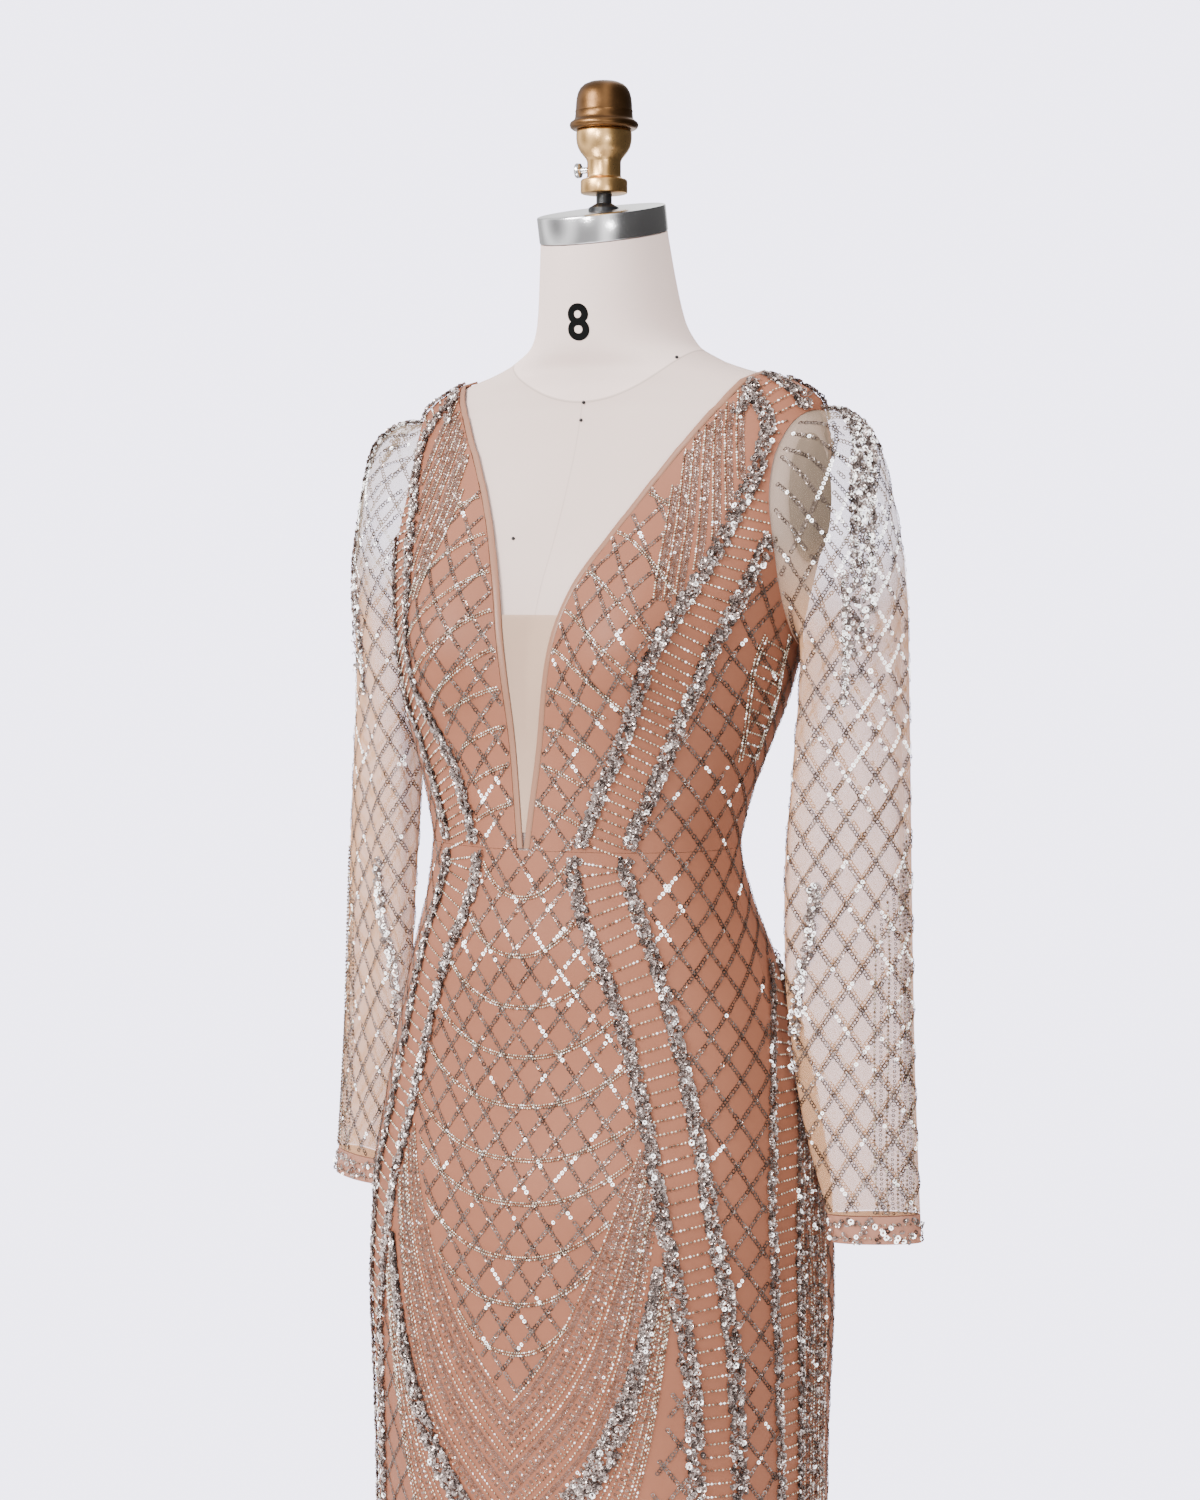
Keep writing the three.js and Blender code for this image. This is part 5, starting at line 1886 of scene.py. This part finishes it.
@dataclass
class DressForm:
    """The linen-covered form with its arm plates, size number and pins."""

    surface: GownSurface
    wardrobe: Wardrobe
    columns: int = 128

    def skin(self, turn: Array, z: Array) -> Array:
        """Points of the form's cover.

        Args:
            turn: turn in radians.
            z: height before the neck's top is tilted.

        Returns:
            Points in millimetres.
        """
        turn, z = np.broadcast_arrays(np.asarray(turn, float), np.asarray(z, float))
        out = np.interp(z, (1440, 1450), (-(WALL + EASE), -0.5))
        points = self.surface.moved(turn, np.minimum(z, NECK_TOP_Z - 1), out)
        points[..., 2] = np.where((z == FORM_FOOT_Z) | (z == NECK_TOP_Z), z, points[..., 2])
        lean = np.clip((z - TILT_FOOT_Z) / (NECK_TOP_Z - TILT_FOOT_Z), 0, 1)
        points[..., 2] += lean * math.tan(NECK_TILT) * points[..., 1]
        points[..., 0] = np.clip(points[..., 0], -ARM_CUT_X, ARM_CUT_X)
        return points

    def build(self) -> None:
        """Makes the cover, arm plates, number and pins."""
        self._cover()
        self._plates()
        self._number()
        self._pins()

    def _cover(self) -> None:
        """The torso and neck as one closed skin."""
        z = np.concatenate([np.arange(FORM_FOOT_Z, 1380, 9.0), np.arange(1380, NECK_TOP_Z, 3.0), [NECK_TOP_Z]])
        turns = np.linspace(0, 2 * math.pi, self.columns, endpoint=False)
        patch = Patch.grid(turns, z, closed=True)
        points = self.skin(patch.u, patch.v)
        n = self.columns
        faces = [*patch.faces, tuple(range(n - 1, -1, -1)), tuple(range(n * (len(z) - 1), n * len(z)))]
        piece = link_mesh("form_torso_cover", points, faces)
        lay_uv(piece, patch.u * 120, points[:, 2])
        smooth(piece, 50)
        dress(piece, self.wardrobe["linen"], Slot.FORM, "form_torso")

    def _plates(self) -> None:
        """Oval boards that close the arms."""
        x, y, z = PLATE_PLACE
        for side in Side:
            bpy.ops.mesh.primitive_cylinder_add(vertices=64, radius=1.0, depth=PLATE_THICK * MM, end_fill_type="NGON")
            piece = started(f"arm_plate_{side.word}_board")
            piece.rotation_euler = (0, math.pi / 2, 0)
            piece.scale = (PLATE_HALF[0] * MM, PLATE_HALF[1] * MM, 1.0)
            piece.location = (side.value * x * MM, y * MM, z * MM)
            settle(piece)
            bevel = piece.modifiers.new("rim", "BEVEL")
            bevel.width = PLATE_RIM * MM
            bevel.segments = 3
            apply_modifiers(piece)
            places = np.array([v.co for v in piece.data.vertices]) / MM
            for layer in list(piece.data.uv_layers):
                piece.data.uv_layers.remove(layer)
            lay_uv(piece, places[:, 1], places[:, 2])
            smooth(piece)
            dress(piece, self.wardrobe["board"], Slot.PLATE, f"arm_plate_{side.word}")

    def _number(self) -> None:
        """A plain size number printed on the neck."""
        bpy.ops.object.text_add(rotation=(math.pi / 2, 0, 0))
        text = bpy.context.active_object
        text.data.body = "8"
        text.data.align_x = "CENTER"
        text.data.align_y = "CENTER"
        text.data.size = NUMBER_TALL * MM
        text.data.offset = NUMBER_BOLD * MM
        text.data.resolution_u = 6
        text.location = Vector(NUMBER_PLACE) * MM
        bpy.ops.object.convert(target="MESH")
        piece = started("size_number_print")
        settle(piece)
        bpy.ops.object.mode_set(mode="EDIT")
        bpy.ops.mesh.select_all(action="SELECT")
        bpy.ops.mesh.quads_convert_to_tris()
        bpy.ops.mesh.subdivide(number_cuts=2)
        bpy.ops.object.mode_set(mode="OBJECT")
        places = np.array([v.co for v in piece.data.vertices]) / MM
        turns = np.arcsin(np.clip(places[:, 0] / self.surface.half(places[:, 2]), -1, 1))
        depths = self.skin(turns, places[:, 2])[:, 1] - NUMBER_PROUD
        for vertex, depth in zip(piece.data.vertices, depths):
            vertex.co.y = depth * MM
        dress(piece, self.wardrobe["ink"], Slot.BLACK)

    def _pins(self) -> None:
        """Small pin heads left in the cover."""
        for number, (turn, z) in enumerate(PINS):
            at = self.skin(np.array([turn]), np.array([z]))[0] - np.array([0, PIN_PROUD, 0])
            bpy.ops.mesh.primitive_uv_sphere_add(segments=12, ring_count=8, radius=PIN_RADIUS * MM,
                                                 location=tuple(at * MM))
            piece = started(f"pin_head_{number + 1}")
            settle(piece)
            smooth(piece, 60)
            dress(piece, self.wardrobe["black"], Slot.BLACK)


@dataclass(frozen=True)
class Turning:
    """A piece turned on a lathe, grown ring by ring from a circle: radius and height of each ring."""

    node: str
    profile: Profile
    finish: str
    slot: Slot
    sides: int = 96
    foot: float = 0.0
    turn: tuple[float, float, float] = (0.0, 0.0, 0.0)
    seat: float = 0.0

    def build(self, wardrobe: Wardrobe) -> None:
        """Extrudes and scales a circle along the profile, and dresses the piece.

        Args:
            wardrobe: the finishes.
        """
        rings = [(radius, height + self.foot) for radius, height in self.profile]
        radius, height = rings[0]
        bpy.ops.mesh.primitive_circle_add(vertices=self.sides, radius=radius * MM, fill_type="NGON",
                                          location=(0, 0, height * MM))
        piece = started(f"{self.node}_turned")
        settle(piece)
        bpy.ops.object.mode_set(mode="EDIT")
        bpy.ops.mesh.select_all(action="SELECT")
        for wide, high in rings[1:]:
            bpy.ops.mesh.extrude_region_move(TRANSFORM_OT_translate={"value": (0, 0, (high - height) * MM)})
            grow = wide / radius
            bpy.ops.transform.resize(value=(grow, grow, 1.0), center_override=(0, 0, high * MM))
            radius, height = wide, high
        bpy.ops.mesh.select_all(action="SELECT")
        bpy.ops.mesh.remove_doubles(threshold=1e-6)
        bpy.ops.mesh.normals_make_consistent(inside=False)
        bpy.ops.object.mode_set(mode="OBJECT")
        piece.rotation_euler = self.turn
        piece.location = (0, 0, self.seat * MM)
        settle(piece)
        smooth(piece, 35)
        dress(piece, wardrobe[self.finish], self.slot, self.node)


class Fittings:
    """Neck cap, pole, finial, clamp screw and floor stand, each a turned piece."""

    seat = NECK_TOP_Z + SEAM + 0.1
    cap_tall = 22.3
    finial_foot = 1584.0
    screw_level = 1604.0
    screw_way = math.radians(190)

    cap = ((52.0, 0.0), (53.1, 0.4), (53.5, 1.3), (53.5, 20.6), (53.1, 21.6), (52.0, 22.0), (30.0, cap_tall))
    collar = ((13.0, -3.0), (13.0, 1.2), (12.4, 1.9), (8.4, 4.4), (7.4, 5.0), (6.5, 5.2),
              (6.5, finial_foot - SEAM - seat - cap_tall))
    cup = (
        (18.4, 0.0), (19.1, 0.4), (19.4, 1.2), (19.4, 9.8), (19.1, 10.8), (18.2, 11.6), (16.6, 12.0), (15.0, 12.7),
        (14.2, 13.8), (14.0, 15.2), (14.0, 25.6), (14.4, 27.4), (15.6, 29.4), (17.5, 31.6), (19.8, 34.6),
        (21.6, 38.0), (22.6, 41.6), (23.0, 45.2), (23.0, 49.2), (22.7, 51.0), (22.0, 51.8),
    )
    dome = (
        (23.6, 52.2), (26.2, 52.6), (27.7, 53.8), (28.4, 55.4), (28.4, 56.8), (27.7, 58.2), (26.2, 59.3),
        (24.9, 60.2), (24.1, 61.6), (23.9, 63.6), (23.6, 66.2), (23.9, 67.2), (23.4, 68.6), (23.2, 73.0),
        (22.7, 78.0), (21.6, 82.4), (19.6, 86.2), (16.4, 89.2), (11.8, 91.2), (6.0, 92.2), (1.0, 92.4),
    )
    screw = ((2.6, 14.3), (2.6, 20.2), (4.6, 20.3), (6.0, 20.9), (6.2, 21.6), (6.2, 23.8), (5.8, 24.6), (4.4, 24.8))
    base = ((178.6, 0.0), (179.6, 0.5), (180.0, 1.6), (180.0, 8.6), (179.4, 10.6), (177.6, 11.8), (175.0, 12.0),
            (60.0, 12.0))
    socket = ((33.4, 12.3), (34.0, 13.0), (34.0, 16.0), (32.6, 17.4), (28.6, 46.4), (27.6, 47.6), (26.4, 48.0))
    pole = ((13.6, 48.3), (14.0, 48.8), (14.0, 711.2), (13.6, 711.7))

    def build(self, wardrobe: Wardrobe) -> None:
        """Makes every hard fitting.

        Args:
            wardrobe: the finishes.
        """
        pieces = (
            Turning("neck_cap", self.cap, "steel", Slot.STEEL, turn=(NECK_TILT, 0, 0), seat=self.seat),
            Turning("neck_pole", self.collar, "black", Slot.BLACK, 64, self.seat + self.cap_tall),
            Turning("finial_cup", self.cup, "brass", Slot.BRASS, foot=self.finial_foot),
            Turning("finial_dome", self.dome, "dark_brass", Slot.BRASS, foot=self.finial_foot),
            Turning("clamp_screw", self.screw, "steel", Slot.STEEL, 40, turn=(0, math.pi / 2, self.screw_way),
                    seat=self.screw_level),
            Turning("stand_base", self.base, "iron", Slot.IRON),
            Turning("pole_socket", self.socket, "iron", Slot.IRON, 64),
            Turning("stand_pole", self.pole, "black", Slot.BLACK, 64),
        )
        for piece in pieces:
            piece.build(wardrobe)


class Studio:
    """Pale floor, soft light and the photograph's camera."""

    azimuth = math.radians(31.0)
    distance = 2.46
    height = 1.264
    pitch = math.radians(3.257)
    lens = 70.85
    flags = ((0.0, 0.10), (0.07, 0.8), (0.18, 0.22), (0.42, 0.26), (0.56, 1.1), (0.65, 0.4), (0.72, 0.03), (1.0, 0.02))

    def build(self) -> None:
        """Sets the camera, floor, lamps and surroundings."""
        self._camera()
        self._floor()
        self._lamps()
        self._surroundings()

    def _camera(self) -> None:
        """Places the camera."""
        data = bpy.data.cameras.new("camera")
        data.lens = self.lens
        data.sensor_width = 36.0
        data.shift_x = -0.0027
        camera = bpy.data.objects.new("camera", data)
        bpy.context.scene.collection.objects.link(camera)
        camera.location = (math.sin(self.azimuth) * self.distance, -math.cos(self.azimuth) * self.distance, self.height)
        camera.rotation_euler = (math.pi / 2 - self.pitch, 0, self.azimuth)
        bpy.context.scene.camera = camera

    def _floor(self) -> None:
        """A pale disc under the stand."""
        bpy.ops.mesh.primitive_circle_add(vertices=96, radius=1.45, fill_type="NGON", location=(0, 0, -0.0005))
        floor = started("studio_floor")
        made, n = new_material("studio_floor_paint")
        n.coat(Base_Color=full((0.78, 0.78, 0.80)), Roughness=0.8)
        floor.data.materials.append(made)

    def _lamps(self) -> None:
        """Soft boxes: key from the left of the camera, fill from the right, and small hard ones for the glints."""
        lamps = (
            ("key", (-1.05, -2.4, 2.75), 1.2, 160.0),
            ("fill", (2.9, -1.4, 2.2), 1.4, 44.0),
            ("rim", (-2.6, 1.6, 2.2), 1.2, 90.0),
            ("back", (2.0, 2.6, 2.4), 1.4, 85.0),
            ("spark_left", (0.2, -3.2, 2.0), 0.25, 44.0),
            ("spark_right", (2.4, -2.4, 1.0), 0.25, 20.0),
        )
        for name, place, size, power in lamps:
            data = bpy.data.lights.new(f"lamp_{name}", "AREA")
            data.size = size
            data.energy = power
            lamp = bpy.data.objects.new(f"lamp_{name}", data)
            lamp.location = place
            lamp.visible_glossy = name not in ("fill", "back", "rim")
            lamp.rotation_euler = (Vector((0, 0, 1.15)) - Vector(place)).to_track_quat("-Z", "Y").to_euler()
            bpy.context.scene.collection.objects.link(lamp)

    def _surroundings(self) -> None:
        """A pale backdrop for the camera, and a room brighter above than below for the reflections."""
        world = bpy.data.worlds.new("studio_room")
        bpy.context.scene.world = world
        world.use_nodes = True
        n = Nodes(world.node_tree)
        place = n.add("ShaderNodeTexCoord")
        x, y, z = n.apart(place.outputs["Generated"])[:3]
        room = n.mix(n.span(z, -0.5, 0.7, 0.0, 1.0), full((0.17, 0.16, 0.155)), full((1.0, 1.0, 1.02)))
        side = n.math("ADD", n.math("MULTIPLY", x, 0.86), n.math("MULTIPLY", y, 0.51))
        room = n.mix(n.span(side, -0.3, 0.6, 0.0, 0.85), room, full((0.13, 0.125, 0.12)))
        flags = n.add("ShaderNodeValToRGB", i0=n.span(side, -1.0, 1.0, 0.0, 1.0))
        while len(flags.color_ramp.elements) < len(self.flags):
            flags.color_ramp.elements.new(0.5)
        for element, (position, grey) in zip(flags.color_ramp.elements, self.flags):
            element.position = position
            element.color = full((grey, grey, grey))
        light_path = n.add("ShaderNodeLightPath")
        path = light_path.outputs["Is Camera Ray"]
        room = n.mix(n.math("MULTIPLY", light_path.outputs["Is Glossy Ray"], 0.88), room, flags.outputs[0])
        colour = n.mix(path, room, full((0.96, 0.925, 1.13)))
        shade = n.add("ShaderNodeBackground", Color=colour, Strength=n.span(path, 0.0, 1.0, 2.7, 4.3))
        n.add("ShaderNodeOutputWorld", Surface=shade.outputs[0])


def main() -> None:
    """Builds the classes in order."""
    logging.basicConfig(level=logging.INFO, format="%(name)s %(message)s")
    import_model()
    wardrobe = Wardrobe()
    surface = GownSurface()
    cut = GownCut(surface)
    Studio().build()
    DressForm(surface, wardrobe).build()
    Fittings().build(wardrobe)
    Gown(surface, cut, wardrobe).build()
    GownBeading(surface, cut, wardrobe).build()
    for side in Side:
        sleeve = SleeveSurface(surface, side)
        Sleeve(sleeve, side, wardrobe).build()
        SleeveBeading(sleeve, side, wardrobe).build()


if __name__ == "__main__":
    main()
